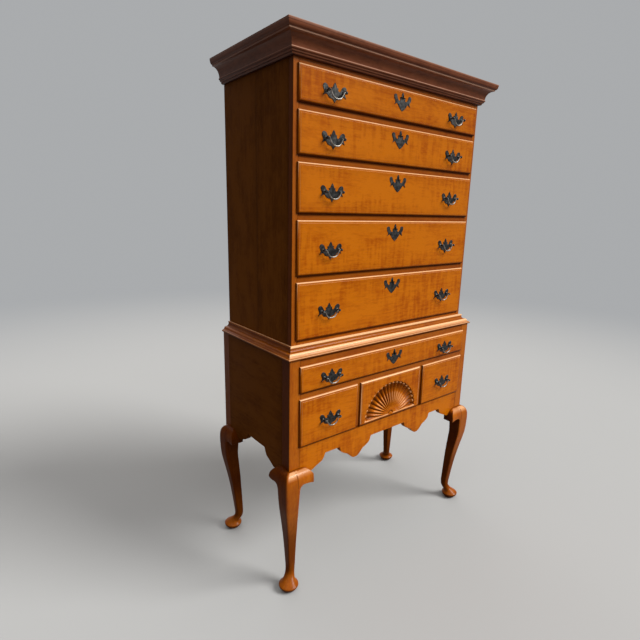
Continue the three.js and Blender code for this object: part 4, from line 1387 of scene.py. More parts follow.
@dataclass
class CabrioleLeg:
    """A leg: its post, its knee and shaft, its pad foot, and the knee returns beside it."""

    finishes: Finishes
    scallops: Scallops
    post: float = 0.043
    knee_top: float = 0.474
    knee_reach: float = 0.0294
    knee_width: float = 0.054
    foot_radius: float = 0.0355
    foot_height: float = 0.062
    foot_inset: float = 0.0062
    ankle_inset: float = 0.0255
    return_thickness: float = 0.02
    return_depth: float = 0.074
    sides: int = 40
    arris_power: float = 22.0
    inner_power: float = 10.0
    slack: float = 0.0003
    arris: float = 0.0012
    tone: float = 0.1
    shaft_shares: tuple[tuple[float, ...], ...] = (
        (0.172, -0.36, 0.56, 0.15), (0.245, -0.26, 0.575, 0.4), (0.325, -0.13, 0.615, 0.7),
        (0.41, 0.03, 0.675, 0.85), (0.49, 0.22, 0.755, 0.95), (0.57, 0.43, 0.83, 1.0),
        (0.65, 0.67, 0.92, 1.0), (0.73, 0.88, 1.0, 1.0), (0.81, 0.97, 1.08, 1.0),
        (0.88, 1.0, 1.13, 1.0), (0.925, 0.96, 1.13, 1.0), (0.955, 0.85, 1.1, 1.0),
        (0.98, 0.62, 1.02, 1.0), (0.99, 0.4, 0.95, 1.0), (0.996, 0.16, 0.87, 1.0), (0.999, 0.0, 0.82, 1.0),
    )
    foot_shares: tuple[Point, ...] = (
        (0.0, 0.6), (0.02, 0.66), (0.09, 0.8), (0.18, 0.91), (0.25, 0.975), (0.295, 1.0), (0.335, 0.995),
        (0.36, 0.965), (0.4, 0.88), (0.45, 0.78), (0.51, 0.68), (0.58, 0.59), (0.67, 0.525),
        (0.8, 0.475), (1.0, 0.455),
    )
    lean_share: float = 0.36
    return_start: float = 0.018
    return_end: float = 0.085
    return_shares: tuple[Station, ...] = (
        (0.0, 0.0, 1.2), (0.11, 0.0, 1.05), (0.15, 0.0, 0.87), (0.22, 0.0, 0.745), (0.38, 0.0, 0.67),
        (0.66, 0.04, 0.69), (0.86, 0.16, 0.72), (0.95, 0.25, 0.745), (1.0, 0.33, 0.76),
    )
    side_return_shares: tuple[Station, ...] = (
        *return_shares[:5], (0.62, 0.08, 0.69), (0.8, 0.25, 0.7), (0.89, 0.39, 0.69), (0.94, 0.53, 0.66),
    )
    face_steps: int = 12
    face_undercut: float = 0.002
    proud: float = 0.0003
    # painted shade at the knee's top seam, dark glue joints of the returns, painted shade all over a rear
    # leg, and a darkening towards the ankle
    seam: float = 0.006
    joint_line: float = 0.0035
    joint_dirt: float = 0.75
    rear_stain: float = 0.72
    ankle_stain: float = 0.92

    def build(self) -> None:
        """Makes the four legs."""
        self.apron_end = Span.of("drawer_l2_front").lo.z - self.scallops.end_drop
        for hand in Hand:
            self.leg(hand, rear=False)
            self.leg(hand, rear=True)

    def leg(self, hand: Hand, rear: bool) -> None:
        """Makes one leg with its returns.

        Args:
            hand: which side.
            rear: whether it is a rear leg.
        """
        node = f"leg_{'rear' if rear else 'front'}_{hand.name.lower()}"
        sides = Span.of("lower_side_left", "lower_side_right")
        corner_y = Span.of("lower_back").hi.y if rear else Span.of("lower_front_frame").lo.y
        turn = (hand.value, 1 if rear else -1)
        home = Vector((hand.value * sides.hi.x, corner_y, 0))
        tuck = self.scallops.rear_tuck if rear else 0.0
        shaft = self.shaft(tuck)
        self.turn(shaft, turn, home)
        rear_stain = self.rear_stain if rear else 0.0

        # painted light on the leg: painted shade in the seam under the case, on its side and inner faces, all
        # over a rear leg and under the pad; painted highlight on the knee's and the pad's tops; and the shaft
        # darker towards the ankle
        def shade(place: Vector, way: Vector) -> float:
            side_out, front_out = (place.x - home.x) * turn[0], (place.y - home.y) * turn[1]
            out, drop = max(side_out, front_out), self.knee_top - place.z
            seam = (1 - eased(out, self.seam / 3, self.seam)) * (1 - eased(drop, 0.0, 0.03))
            outer = eased(side_out - front_out - tuck, -0.001, 0.003)
            side = max(rear_stain, outer, eased(-way.x * turn[0], 0.5, 0.8))
            pad = 1 - eased(place.z, 0.03, self.foot_height)
            knee = (1 - eased(drop, 0.015, 0.045)) * (0.5 - 0.25 * eased(-side_out, 0.01, 0.04))
            highlight = eased(way.z, 0.25, 0.7) * max(pad * 0.18, knee)
            under = pad * 0.9 * (1 - eased(way.z, -0.05, 0.45))
            low = self.ankle_stain * eased(drop, 0.1, 0.3) * (1 - pad * 0.6)
            dark = max(seam * 0.95, side * (1 - pad), under, low)
            return dark if dark > 0.02 else -highlight

        def jointed(place: Vector, way: Vector) -> float:
            along = max((home.x - place.x) * turn[0], (home.y - place.y) * turn[1])
            joint = 1 - eased(along - self.return_start, self.joint_line / 2, self.joint_line)
            return max(joint * self.joint_dirt, shade(place, way)) if joint > 0.02 else shade(place, way)

        shop = Workshop(node, self.finishes.frame)
        shop.add(shaft, Fibre.UP, "shaft", self.tone, shade)
        shop.hand_over("lower_case", [node], crease=50.0, levels=1)
        lo = (-self.post, -self.post, self.apron_end + self.slack)
        timber = block(lo, (0, 0, Span.of(node).hi.z), self.arris, 3)
        self.turn(timber, turn, home)
        # painted shade on the post: all over on a rear leg, on its side faces on a front leg
        look = {"key": "post", "fibre": Fibre.UP, "shade": plain_shade(rear_stain) if rear else sides_dark}
        one_timber(f"{node}_post", self.finishes.frame, "lower_case", timber, **look)
        for way in ("side",) if rear else ("front", "side"):
            knee = self.knee_return(way == "front", tuck)
            self.turn(knee, turn, home)
            look = {"key": way, "fibre": Fibre.UP, "tone": self.tone, "shade": jointed}
            name = f"{node}_return_{way}"
            one_timber(name, self.finishes.frame, "lower_case", knee, crease=48.0, **look)

    @staticmethod
    def turn(bm: Mesh, turn: tuple[int, int], home: Vector) -> None:
        """Gives X and Y of a form, made to look along +X and +Y, the signs of its turn, and moves it home."""
        bmesh.ops.scale(bm, vec=(*turn, 1), verts=bm.verts)
        outward(shifted(bm, home))

    def ring(self, middle: float, half: float, square: float, height: float) -> list[Vector]:
        """One level section of the shaft: round, or square with a crisp outer arris.

        Args:
            middle: its middle in X and in Y.
            half: half of its width.
            square: from 0, round, to 1, square.
            height: its height.

        Returns:
            Its points.
        """
        points = []
        for k in range(self.sides):
            angle = 2 * math.pi * k / self.sides
            off = abs((angle - math.pi / 4 + math.pi) % (2 * math.pi) - math.pi)
            power = 2 + square * (self.arris_power if off < math.pi / 4 else self.inner_power)
            x, y = math.cos(angle), math.sin(angle)
            reach = half * (abs(x) ** power + abs(y) ** power) ** (-1 / power)
            points.append(Vector((middle + reach * x, middle + reach * y, height)))
        return points

    def shaft(self, tuck: float) -> Mesh:
        """The knee, shaft and pad foot.

        Args:
            tuck: how far the whole shaft is set in from the back.

        Returns:
            The form, for the corner that looks along +X and +Y.
        """
        rings = []
        for up, wide in self.foot_shares:
            share = max(0.0, (up - self.lean_share) / (1 - self.lean_share))
            inset = self.foot_inset + eased(share, 0, 1) * (self.ankle_inset - self.foot_inset)
            rings.append(self.ring(-inset, wide * self.foot_radius, 0.0, up * self.foot_height))
        for up, out, wide, square in through(self.shaft_shares, 3):
            half = wide * self.knee_width / 2
            rings.append(self.ring(out * self.knee_reach - half, half, min(square, 1.0), up * self.knee_top))
        for ring in rings:
            for point in ring:
                point.y -= tuck
        return loft(rings)

    def knee_return(self, along_x: bool, tuck: float) -> Mesh:
        """The block that carries the knee's curve out along the case.

        Args:
            along_x: whether it runs along X on the front, or along Y on the side.
            tuck: how far the leg is set in from the back.

        Returns:
            The form, for the corner that looks along +X and +Y.
        """
        length = self.return_end - self.return_start
        curve = through([(up, out) for up, out, _, _ in self.shaft_shares], 3)
        rings = []
        shares = self.return_shares if along_x else self.side_return_shares
        for along, top, foot in through(shares, 4):
            x = -self.return_start - along * length
            top_z = self.knee_top - top * self.return_depth
            foot_z = self.knee_top - foot * self.return_depth
            ring = [Vector((x, self.slack, top_z))]
            for step in range(self.face_steps + 1):
                down = step / self.face_steps
                z = top_z - down**1.5 * (top_z - foot_z)
                out = blended(curve, z / self.knee_top) * self.knee_reach + self.proud
                ring.append(Vector((x, max(out - self.face_undercut * down**6, self.slack * 2), z)))
            ledge = min(self.apron_end - self.slack, top_z - 0.001)
            back = -self.return_thickness
            ring += [Vector((x, back, foot_z)), Vector((x, back, ledge)), Vector((x, self.slack, ledge))]
            rings.append(ring)
        form = loft(rings)
        if not along_x:
            swap = Matrix(((0, 1, 0, 0), (1, 0, 0, -tuck), (0, 0, 1, 0), (0, 0, 0, 1)))
            bmesh.ops.transform(form, matrix=swap, verts=form.verts)
        return form


@dataclass
class Drawer:
    """A lipped drawer: its front with dovetail pins, its sides with tails, its back and bottom."""

    finishes: Finishes
    name: str
    body: str
    fan: bool = False
    lip_thickness: float = 0.008
    lip_overlap: float = 0.005
    lip_edge: float = 0.0018
    thumb_inset: float = 0.0072
    step_inset: float = 0.0012
    step_rise: float = 0.0006
    thumb_flats: int = 7
    play: float = 0.0015
    side_thickness: float = 0.011
    bottom_thickness: float = 0.007
    bottom_rise: float = 0.008
    back_drop: float = 0.006
    tail_length: float = 0.009
    tail_pitch: float = 0.034
    pin_thin: float = 0.0035
    pin_wide: float = 0.0075
    gap: float = 0.0003
    overlap: float = 0.001
    core_ease: float = 0.0003
    side_round: float = 0.0018
    back_ease: float = 0.001
    bottom_ease: float = 0.0005
    pin_tone: float = 0.25
    bottom_tone: float = 0.12

    def build(self) -> None:
        """Makes the drawer's pieces."""
        self.front = Span.of(f"drawer_{self.name}_front")
        self.box = Span.of(f"drawer_{self.name}_box")
        self.face = self.front.lo.y
        self.seat = self.face + self.lip_thickness
        self.shoulder = self.front.hi.y - self.tail_length
        self.front_piece()
        self.box_piece()

    def wear(self, place: Vector, way: Vector) -> float:
        """The lipped edge's painted light: painted highlight on top and at its inner step, and painted shade
        at its sides and below.
        """
        if place.y < self.face + self.step_rise * 1.05:
            return -0.55 * eased(max(abs(way.x), abs(way.z)), 0.3, 0.8)
        top = eased(way.z, 0.15, 0.4) * (1 - eased(way.z, 0.7, 0.95) * 0.7)
        highlight = max(top * 0.95, eased(abs(way.x), 0.12, 0.35) * 0.5)
        darker = max(eased(abs(way.x), 0.55, 0.8) * 0.85, eased(-way.z, 0.02, 0.2))
        return darker if darker > 0.02 else -highlight

    def thumb(self) -> list[Point]:
        """The lip's section.

        Returns:
            Inset from the lip's outer edge and rise from its back, from the back outwards.
        """
        high = self.lip_thickness - self.step_rise
        curve = arc((0.0, self.lip_edge), (self.thumb_inset, high), (0.0, high), self.thumb_flats)
        inner = self.thumb_inset + self.step_inset
        return [*curve, (inner, high), (inner + self.step_inset / 3, self.lip_thickness)]

    def core(self) -> Span:
        """The front's thickness from the lip's back to the dovetails' shoulder."""
        top = self.front.hi.z - self.lip_overlap - self.play
        lo = Vector((self.box.lo.x, self.seat, self.box.lo.z))
        return Span(lo, Vector((self.box.hi.x, self.shoulder, top)))

    def widths(self) -> Station:
        """The box's middle, and from there to its sides' inner and outer faces."""
        middle = self.box.middle.x
        half = self.box.hi.x - middle
        return middle, half - self.side_thickness, half

    def front_piece(self) -> None:
        """Makes the front with its lip, and with the dovetail pins at its ends."""
        shop = Workshop(f"drawer_{self.name}_face", self.finishes.figured)
        core = self.core()
        if self.fan:
            fan = FanFront(self)
            shop.add(fan.lip(), key="face", shade=fan.grime)
        else:
            shop.add(self.plain_lip(), key="face", shade=self.wear)
            lo = core.lo - Vector((0, self.overlap, 0))
            shop.add(block(lo, core.hi, self.core_ease), key="face")
        middle, inner, half = self.widths()
        foot, top, start, end = core.lo.z, core.hi.z, self.shoulder, self.front.hi.y
        lo, hi = (middle - inner, start - self.overlap, foot), (middle + inner, end, top)
        shop.add(block(lo, hi, self.core_ease), key="face")
        for hand in Hand:
            x0, x1 = (middle + out for out in hand.between(inner, half))
            for k, pin in enumerate(self.pins(foot, top)):
                outline = list(zip((start, end, end, start), pin))
                shop.add(plate(outline, Facing.SIDE, x0, x1), key=f"pin{k}", tone=self.pin_tone)
        shop.hand_over(self.body, [f"drawer_{self.name}_front"])

    def pins(self, foot: float, top: float) -> list[tuple[float, float, float, float]]:
        """The dovetail pins of a corner.

        Args:
            foot: the corner's lower end.
            top: its upper end.

        Returns:
            For each pin, the heights of its corners: low thin, low wide, high wide and high thin.
        """
        tails = max(2, round((self.box.hi.z - foot) / self.tail_pitch))
        pitch = (self.box.hi.z - foot) / tails
        thin, wide = self.pin_thin / 2, self.pin_wide / 2
        pins = []
        for k in range(tails + 1):
            middle = foot + k * pitch
            low = (middle - thin, middle - wide) if k else (foot, foot)
            high = (middle + wide, middle + thin) if k < tails else (top, top)
            pins.append((*low, *high))
        return pins

    def plain_lip(self) -> Mesh:
        """The lipped panel of a plain drawer front."""
        lo, hi, middle = self.front.lo, self.front.hi, self.front.middle
        (_, edge), *steps = self.thumb()
        outline = ((lo.x, lo.z), (hi.x, lo.z), (hi.x, hi.z), (lo.x, hi.z))
        bm = plate(outline, Facing.FRONT, self.seat, self.seat - edge)
        face = [item for item in bm.faces if item.normal.y < -0.9]
        for inset, rise in steps:
            face = bmesh.ops.extrude_discrete_faces(bm, faces=face)["faces"]
            for vert in face[0].verts:
                x = math.copysign(hi.x - middle.x - inset, vert.co.x - middle.x)
                z = math.copysign(hi.z - middle.z - inset, vert.co.z - middle.z)
                vert.co = (middle.x + x, self.seat - rise, middle.z + z)
        return outward(bm)

    def box_piece(self) -> None:
        """Makes the sides, back and bottom."""
        shop = Workshop(f"drawer_{self.name}_boards", self.finishes.pine)
        box, end, shoulder = self.box, self.front.hi.y, self.shoulder + self.gap
        middle, inner, half = self.widths()
        outline = [(box.hi.y, box.hi.z), (box.hi.y, box.lo.z)]
        pins = self.pins(box.lo.z, box.hi.z)
        for low, high in zip(pins, pins[1:]):
            outline += [
                (end, low[2] + self.gap), (shoulder, low[3] + self.gap),
                (shoulder, high[0] - self.gap), (end, high[1] - self.gap),
            ]
        for hand in Hand:
            side = plate(outline, Facing.SIDE, *(middle + out for out in hand.between(inner, half)))
            top = [edge for edge in side.edges if all(v.co.z > box.hi.z - NEAR for v in edge.verts)]
            soften(side, top, self.side_round, 3)
            shop.add(side, Fibre.BACK, hand.name)
        bottom = box.lo.z + self.bottom_rise
        back = (box.hi.y - self.side_thickness, bottom + self.bottom_thickness)
        hi = (middle + inner, box.hi.y, box.hi.z - self.back_drop)
        shop.add(block((middle - inner, *back), hi, self.back_ease), key="back")
        lo = (middle - inner - self.overlap, end - self.gap, bottom)
        hi = (middle + inner + self.overlap, box.hi.y, bottom + self.bottom_thickness)
        shop.add(block(lo, hi, self.bottom_ease), key="bottom", tone=self.bottom_tone)
        shop.hand_over(self.body, [f"drawer_{self.name}_box"])


@dataclass
class FanFront:
    """The carved fan that is sunk into the centre drawer's front."""

    drawer: Drawer
    side_margin: float = 0.029
    top_margin: float = 0.034
    foot_margin: float = 0.0105
    rays: int = 19
    depth: float = 0.0118
    scallop: float = 0.035
    hub_share: float = 0.13
    deepest_share: float = 0.86
    rib_height: float = 0.0058
    nose_share: float = 0.955
    nose_width: float = 0.022
    nose_height: float = 0.0022
    boss_radius: float = 0.0115
    boss_width: float = 0.002
    boss_groove: float = 0.003
    base_wall: float = 0.003
    columns_per_ray: int = 12
    fan_rows: int = 64
    field_rows: int = 3
    row_crowding: float = 0.064
    rim_end: float = 1.002

    def lip(self) -> Mesh:
        """The lipped panel with the fan carved into it."""
        front = self.drawer.front
        profile = self.drawer.thumb()
        inset = profile[-1][0]
        self.middle = front.middle.x
        self.base = front.lo.z + self.foot_margin
        self.half = (front.hi.x - front.lo.x) / 2 - inset
        self.low, self.high = front.lo.z + inset, front.hi.z - inset
        columns = self.rays * self.columns_per_ray
        rows = self.fan_rows + self.field_rows
        bm = bmesh.new()
        bmesh.ops.create_grid(bm, x_segments=columns, y_segments=rows, size=0.5)
        corners = self.corner_columns(columns)
        for vert in bm.verts:
            column = round((vert.co.x + 0.5) * columns)
            row = round((vert.co.y + 0.5) * rows)
            vert.co = self.place(column, row, columns, corners)
        bmesh.ops.remove_doubles(bm, verts=bm.verts, dist=MERGE)
        self.base_strip(bm)
        self.wrap(bm, profile)
        return outward(bm)

    def corner_columns(self, columns: int) -> dict[int, Point]:
        """The two columns, of all from the right, whose rays meet the upper corners, and those corners."""
        angle = math.atan2(self.high - self.base, self.half)
        near = round(angle / math.pi * columns)
        return {near: (self.half, self.high), columns - near: (-self.half, self.high)}

    def place(self, column: int, row: int, columns: int, corners: Mapping[int, Point]) -> Vector:
        """Where a vertex of the panel lies.

        Args:
            column: its ray, counted from the right.
            row: its ring, counted from the hub.
            columns: the number of columns.
            corners: the columns that meet the panel's corners.

        Returns:
            Its place.
        """
        turn = column / columns
        angle = math.pi * turn
        across = self.across(turn)
        rim_x, rim_z = self.rim(turn)
        if row <= self.fan_rows:
            share = row / self.fan_rows
            share = share - self.row_crowding * math.sin(2 * math.pi * share)
            x, z = rim_x * share, rim_z * share
            sunk = self.sunk(share, across, z, math.hypot(x, z))
        else:
            out = min(
                self.half / max(abs(math.cos(angle)), 1e-6),
                (self.high - self.base) / max(math.sin(angle), 1e-6),
            )
            x, z = out * math.cos(angle), out * math.sin(angle)
            if column in corners:
                x, z = corners[column][0], corners[column][1] - self.base
            share = ((row - self.fan_rows) / self.field_rows) ** 3
            x, z = rim_x + (x - rim_x) * share, rim_z + (z - rim_z) * share
            sunk = 0.0
        return Vector((self.middle + x, self.drawer.face + sunk, self.base + z))

    def across(self, turn: float) -> float:
        """Place across a rib, from -1 to 1, at a share of the half turn."""
        return (turn * self.rays + 0.5) % 1.0 * 2 - 1

    def rim(self, turn: float) -> Point:
        """The fan's scalloped rim, from its hub, at a share of the half turn."""
        angle = math.pi * turn
        bulge = 1 + (1 - self.across(turn) ** 2) * self.scallop
        width = self.half + self.drawer.thumb()[-1][0] - self.side_margin
        height = self.drawer.front.hi.z - self.top_margin - self.base
        return width * bulge * math.cos(angle), height * bulge * math.sin(angle)

    def sunk(self, share: float, across: float, rise: float, radius: float) -> float:
        """How deep the carving is.

        Args:
            share: place from the hub, 0, to the rim, 1.
            across: place across the rib, from -1 to 1.
            rise: height over the hub.
            radius: distance from the hub.

        Returns:
            The depth.
        """
        bowl = eased(min(share, self.deepest_share), 0.0, self.deepest_share * 1.15)
        fall = max(0.0, share - self.deepest_share) / (1 - self.deepest_share)
        wall = math.sqrt(max(0.0, 1 - fall**2.6))
        rib = (1 - abs(across) ** 1.5) * self.rib_height * eased(share, self.hub_share, 0.45)
        nose = math.exp(-(((share - self.nose_share) / self.nose_width) ** 2)) * self.nose_height
        boss = math.exp(-(((radius - self.boss_radius) / self.boss_width) ** 2)) * self.boss_groove
        base = 0.15 + 0.85 * eased(rise, 0.0, self.base_wall)
        cup = self.depth * bowl * wall * base
        return max(cup - (rib + nose * (1 - across**2)) * wall, 0.0) + boss * base

    def grime(self, place: Vector, way: Vector) -> float:
        """The painted light in the carving at a place: painted shade in the grooves, the hollow, the rim line
        and the boss ring, and painted highlight on the rib noses, the crests and the foot.
        """
        x, z = place.x - self.middle, place.z - self.base
        if place.y > self.drawer.seat + NEAR and way.y > -0.1:
            return 0.0
        if z < -NEAR or abs(x) > self.half or place.z > self.high:
            return self.drawer.wear(place, way)
        turn = min(max(math.atan2(z, x) / math.pi, 0.0), 1.0)
        share = math.hypot(x, z) / math.hypot(*self.rim(turn))
        if share > self.rim_end:
            return 0.0
        across = abs(self.across(turn))
        groove = eased(across, 0.4, 0.9) * eased(share, self.hub_share, 0.4)
        hollow = eased(share, 0.62, 0.85) * (1 - eased(share, 0.915, 0.945) * (1 - eased(across, 0.45, 0.8)))
        line = 1 - eased(abs(share - 1.0), 0.0, 0.016)
        ring = 1 - eased(abs(math.hypot(x, z) - self.boss_radius), 0.0012, 0.0034)
        dark = max(groove * 0.95, hollow * 0.95, line * 0.9, ring * 0.95) * eased(z, 0.001, 0.005)
        nose = (1 - eased(abs(share - self.nose_share), 0.01, 0.035)) * (1 - eased(across, 0.3, 0.7))
        crest = (1 - eased(across, 0.2, 0.5)) * eased(share, 0.3, 0.5) * (1 - eased(share, 0.75, 0.85))
        foot = (1 - eased(z, 0.001, 0.0035)) * eased(share, 0.08, 0.12)
        highlit = max(nose * 0.45, crest * 0.25, foot * 0.6)
        return dark - highlit if highlit > dark else dark

    def base_strip(self, bm: Mesh) -> None:
        """Carries the panel down from the fan's base to its own lower edge."""
        edges = [
            edge
            for edge in bm.edges
            if edge.is_boundary and all(abs(vert.co.z - self.base) < MERGE for vert in edge.verts)
        ]
        for vert in grown(bm, edges)[0]:
            vert.co.z, vert.co.y = self.low, self.drawer.face

    def wrap(self, bm: Mesh, profile: Sequence[Point]) -> None:
        """Grows the lip's moulded edge and the front's thickness from the panel's rim.

        Args:
            bm: the panel.
            profile: the lip's section, from the back outwards.
        """
        rim = [edge for edge in bm.edges if edge.is_boundary]
        final = inset = profile[-1][0]
        for next_inset, rise in [*reversed(profile[:-1]), (0.0, 0.0)]:
            verts, rim = grown(bm, rim)
            out = inset - next_inset
            half = self.half + final - inset
            low, top = self.low - final + inset, self.high + final - inset
            for vert in verts:
                if abs(abs(vert.co.x - self.middle) - half) < NEAR:
                    vert.co.x += math.copysign(out, vert.co.x - self.middle)
                if abs(vert.co.z - top) < NEAR:
                    vert.co.z += out
                if abs(vert.co.z - low) < NEAR:
                    vert.co.z -= out
                vert.co.y = self.drawer.seat - rise
            inset = next_inset
        core = self.drawer.core()
        for deep in (core.lo.y, core.hi.y):
            verts, rim = grown(bm, rim)
            for vert in verts:
                x = min(max(vert.co.x, core.lo.x), core.hi.x)
                vert.co = (x, deep, min(max(vert.co.z, core.lo.z), core.hi.z))
        bmesh.ops.remove_doubles(bm, verts=bm.verts, dist=MERGE)
        bmesh.ops.contextual_create(bm, geom=[edge for edge in bm.edges if edge.is_boundary])


@dataclass
class Pull:
    """A bail pull: a batwing plate, two posts with their nuts, and the bail."""

    finishes: Finishes
    drawer: str
    side: str
    gap: float = 0.0003
    thickness: float = 0.0016
    spacing: float = 0.068
    post_reach: float = 0.019
    pivot_reach: float = 0.0135
    head_radius: float = 0.005
    nut_radius: float = 0.0055
    nut_thickness: float = 0.0035
    shank_radius: float = 0.0022
    bail_drop: float = 0.022
    bail_radius: float = 0.0023
    pin_radius: float = 0.0015
    flats: int = 20
    bail_flats: int = 12
    front_thickness: float = 0.0225

    def build(self) -> None:
        """Makes the plate with its posts, and the bail."""
        node = f"pull_{self.drawer}_{self.side}"
        bail = Span.of(f"{node}_bail")
        face = Span.of(f"drawer_{self.drawer}_front").lo.y
        home = Vector((bail.middle.x, face, bail.hi.z - self.pin_radius))
        shop = Workshop(f"{node}_backplate", self.finishes.brass)
        shop.add(shifted(PlateOutline().plate(self.gap, self.thickness), home))
        for hand in Hand:
            place = home + Vector((hand.value * self.spacing / 2, 0, 0))
            shop.add(shifted(self.post(), place), key=hand.name)
        shop.hand_over(f"drawer_{self.drawer}", [f"{node}_plate"], crease=40.0)
        body, bar = f"bail_{self.drawer}_{self.side}", shifted(self.bail(), home)
        one_timber(f"{node}_handle", self.finishes.bail, body, bar, [f"{node}_bail"], 60.0)

    def post(self) -> Mesh:
        """A turned post round the Y axis, with its shank and nut behind."""
        base = -self.gap - self.thickness
        tip = base - self.post_reach
        nut = self.front_thickness + self.gap
        end = nut + self.nut_thickness
        head = self.head_radius
        middle = base - self.pivot_reach
        ball = [
            (head * math.sin(angle), middle - head * 1.02 * math.cos(angle))
            for angle in [math.pi * k / 10 for k in range(1, 9)]
        ]
        profile = [
            (0.0, tip), (0.0012, tip + 0.0001), (0.0019, tip + 0.0007), (0.0016, tip + 0.0012),
            *ball,
            (0.0026, base - 0.0058), (0.0026, base - 0.0046), (0.0044, base - 0.0032),
            (0.0058, base - 0.0022), (0.0066, base - 0.0012), (0.007, base - 0.0004), (0.007, base),
            (self.shank_radius, base), (self.shank_radius, nut), (self.nut_radius, nut),
            (self.nut_radius, end - 0.0004), (self.nut_radius - 0.0005, end),
            (self.shank_radius, end), (0.0, end),
        ]
        return turned(profile, self.flats)

    def bail(self) -> Mesh:
        """The bail, thickest at its middle, with a collar near each pin."""
        mouth = self.spacing / 2 - self.head_radius * math.cos(math.pi / 6)
        pivot = -self.gap - self.thickness - self.pivot_reach
        thin, thick = self.pin_radius, self.bail_radius
        half = [
            (mouth + 0.003, 0.0, thin), (mouth + 0.0005, 0.0, thin), (0.97 * mouth, 0.0, thin),
            (0.95 * mouth, 0.02, thick), (0.91 * mouth, 0.03, thick), (0.885 * mouth, 0.06, thin * 1.1),
            (0.83 * mouth, 0.16, thin * 1.15), (0.78 * mouth, 0.3, thin * 1.2),
            (0.71 * mouth, 0.47, thin * 1.27), (0.62 * mouth, 0.64, thick * 0.92),
            (0.51 * mouth, 0.79, thick * 0.97), (0.39 * mouth, 0.89, thick),
            (0.27 * mouth, 0.955, thick), (0.13 * mouth, 0.99, thick),
        ]
        path = through([*half, (0.0, 1.0, thick), *[(-x, z, r) for x, z, r in reversed(half)]], 3)
        rings = []
        for k, (x, drop, radius) in enumerate(path):
            before, after = path[max(k - 1, 0)], path[min(k + 1, len(path) - 1)]
            way = Vector((after[0] - before[0], (before[1] - after[1]) * self.bail_drop)).normalized()
            ring = []
            for turn in range(self.bail_flats):
                angle = 2 * math.pi * turn / self.bail_flats
                across, y = radius * math.cos(angle), pivot + radius * math.sin(angle)
                ring.append(Vector((x - way.y * across, y, way.x * across - drop * self.bail_drop)))
            rings.append(ring)
        return loft(rings)


@dataclass
class PlateOutline:
    """A batwing plate's outline: its right half in millimetres, from top to foot, and its corners."""

    right: tuple[Point, ...] = (
        (0.0, 27.0), (3.4, 22.4), (5.8, 18.6), (8.6, 12.6), (14.6, 11.8), (12.4, 8.6), (13.0, 5.0),
        (16.4, 2.4), (20.4, 3.0), (24.0, 7.0), (27.0, 12.6), (31.4, 17.0), (38.0, 19.4), (43.6, 17.6),
        (47.0, 11.6), (44.6, 5.0), (41.8, -1.6), (42.0, -7.0), (45.6, -13.8), (38.0, -10.6), (32.6, -8.8),
        (27.6, -10.8), (23.0, -17.0), (15.6, -19.4), (9.8, -20.2), (5.2, -24.0), (0.0, -31.0),
    )
    corners: tuple[int, ...] = (0, 4, 14, 18, 21, 26)
    chamfer: float = 0.0006

    def points(self) -> list[Point]:
        """The whole outline, clockwise as seen from the front."""
        half: list[Point] = []
        for start, end in zip(self.corners, self.corners[1:]):
            half += through(self.right[start : end + 1], 3)[:-1]
        half.append(self.right[-1])
        other = [(-x, z) for x, z in reversed(half[1:-1])]
        return [(x / 1000, z / 1000) for x, z in [*half, *other]]

    def plate(self, gap: float, thickness: float) -> Mesh:
        """The plate with its chamfer, a gap in front of the drawer and with its face towards -Y."""
        bm = plate(self.points(), Facing.FRONT, -gap, -gap - thickness + self.chamfer)
        face = [item for item in bm.faces if item.normal.y < -0.9]
        bmesh.ops.inset_region(bm, faces=face, thickness=self.chamfer, depth=self.chamfer)
        return outward(bm)


@dataclass
class KeyholePlate:
    """A keyhole plate on a drawer that has a lock."""

    finishes: Finishes
    drawer: str
    body: str
    place_below_top: float = 0.04
    gap: float = 0.0001
    thickness: float = 0.0014
    key_width: float = 0.0038
    key_radius: float = 0.003
    key_low: float = 0.006
    key_high: float = 0.0175
    key_flats: int = 14
    key_proud: float = 0.0002

    def build(self) -> None:
        """Makes the plate, and a near-black sheet in its keyhole that stands for the shadow inside the hole.
        """
        front = Span.of(f"drawer_{self.drawer}_front")
        home = Vector((front.middle.x, front.lo.y, front.hi.z - self.place_below_top))
        sheet = shifted(KeyholeOutline().plate(self.gap, self.thickness), home)
        one_timber(f"keyhole_plate_{self.drawer}", self.finishes.brass, self.body, sheet, crease=40.0)
        # painted shadow: a dark sheet where the keyhole's inside lies in shade
        face = -self.gap - self.thickness - self.key_proud
        hole = shifted(plate(self.keyhole(), Facing.FRONT, face, -self.gap), home)
        one_timber(f"keyhole_{self.drawer}", self.finishes.void, self.body, hole)

    def keyhole(self) -> list[Point]:
        """The keyhole's points: a round top over a slot."""
        half = self.key_width / 2
        opening = math.asin(half / self.key_radius)
        points = [(half, self.key_low), (-half, self.key_low)]
        for k in range(self.key_flats + 1):
            angle = math.pi + opening + (2 * math.pi - 2 * opening) * k / self.key_flats
            x, z = self.key_radius * math.sin(angle), self.key_radius * math.cos(angle)
            points.append((x, self.key_high + z))
        return points


@dataclass
class KeyholeOutline(PlateOutline):
    """The keyhole plate's outline: upright wings, a tall narrow crest and a deep point."""

    right: tuple[Point, ...] = (
        (0.0, 30.0), (3.4, 25.6), (5.6, 20.4), (6.2, 14.6), (7.4, 10.8), (10.0, 11.2), (13.6, 13.6),
        (12.4, 9.0), (11.8, 5.0), (14.6, 1.6), (19.0, 2.2), (23.2, 5.8), (26.6, 11.4), (28.6, 18.6),
        (35.4, 20.8), (42.6, 17.6), (42.4, 11.0), (39.8, 4.4), (36.4, -0.6), (35.6, -5.6), (40.0, -12.8),
        (33.6, -9.6), (29.2, -7.0), (25.6, -7.4), (20.4, -13.2), (14.0, -20.4), (7.4, -26.2), (0.0, -31.0),
    )
    corners: tuple[int, ...] = (0, 6, 13, 15, 20, 27)


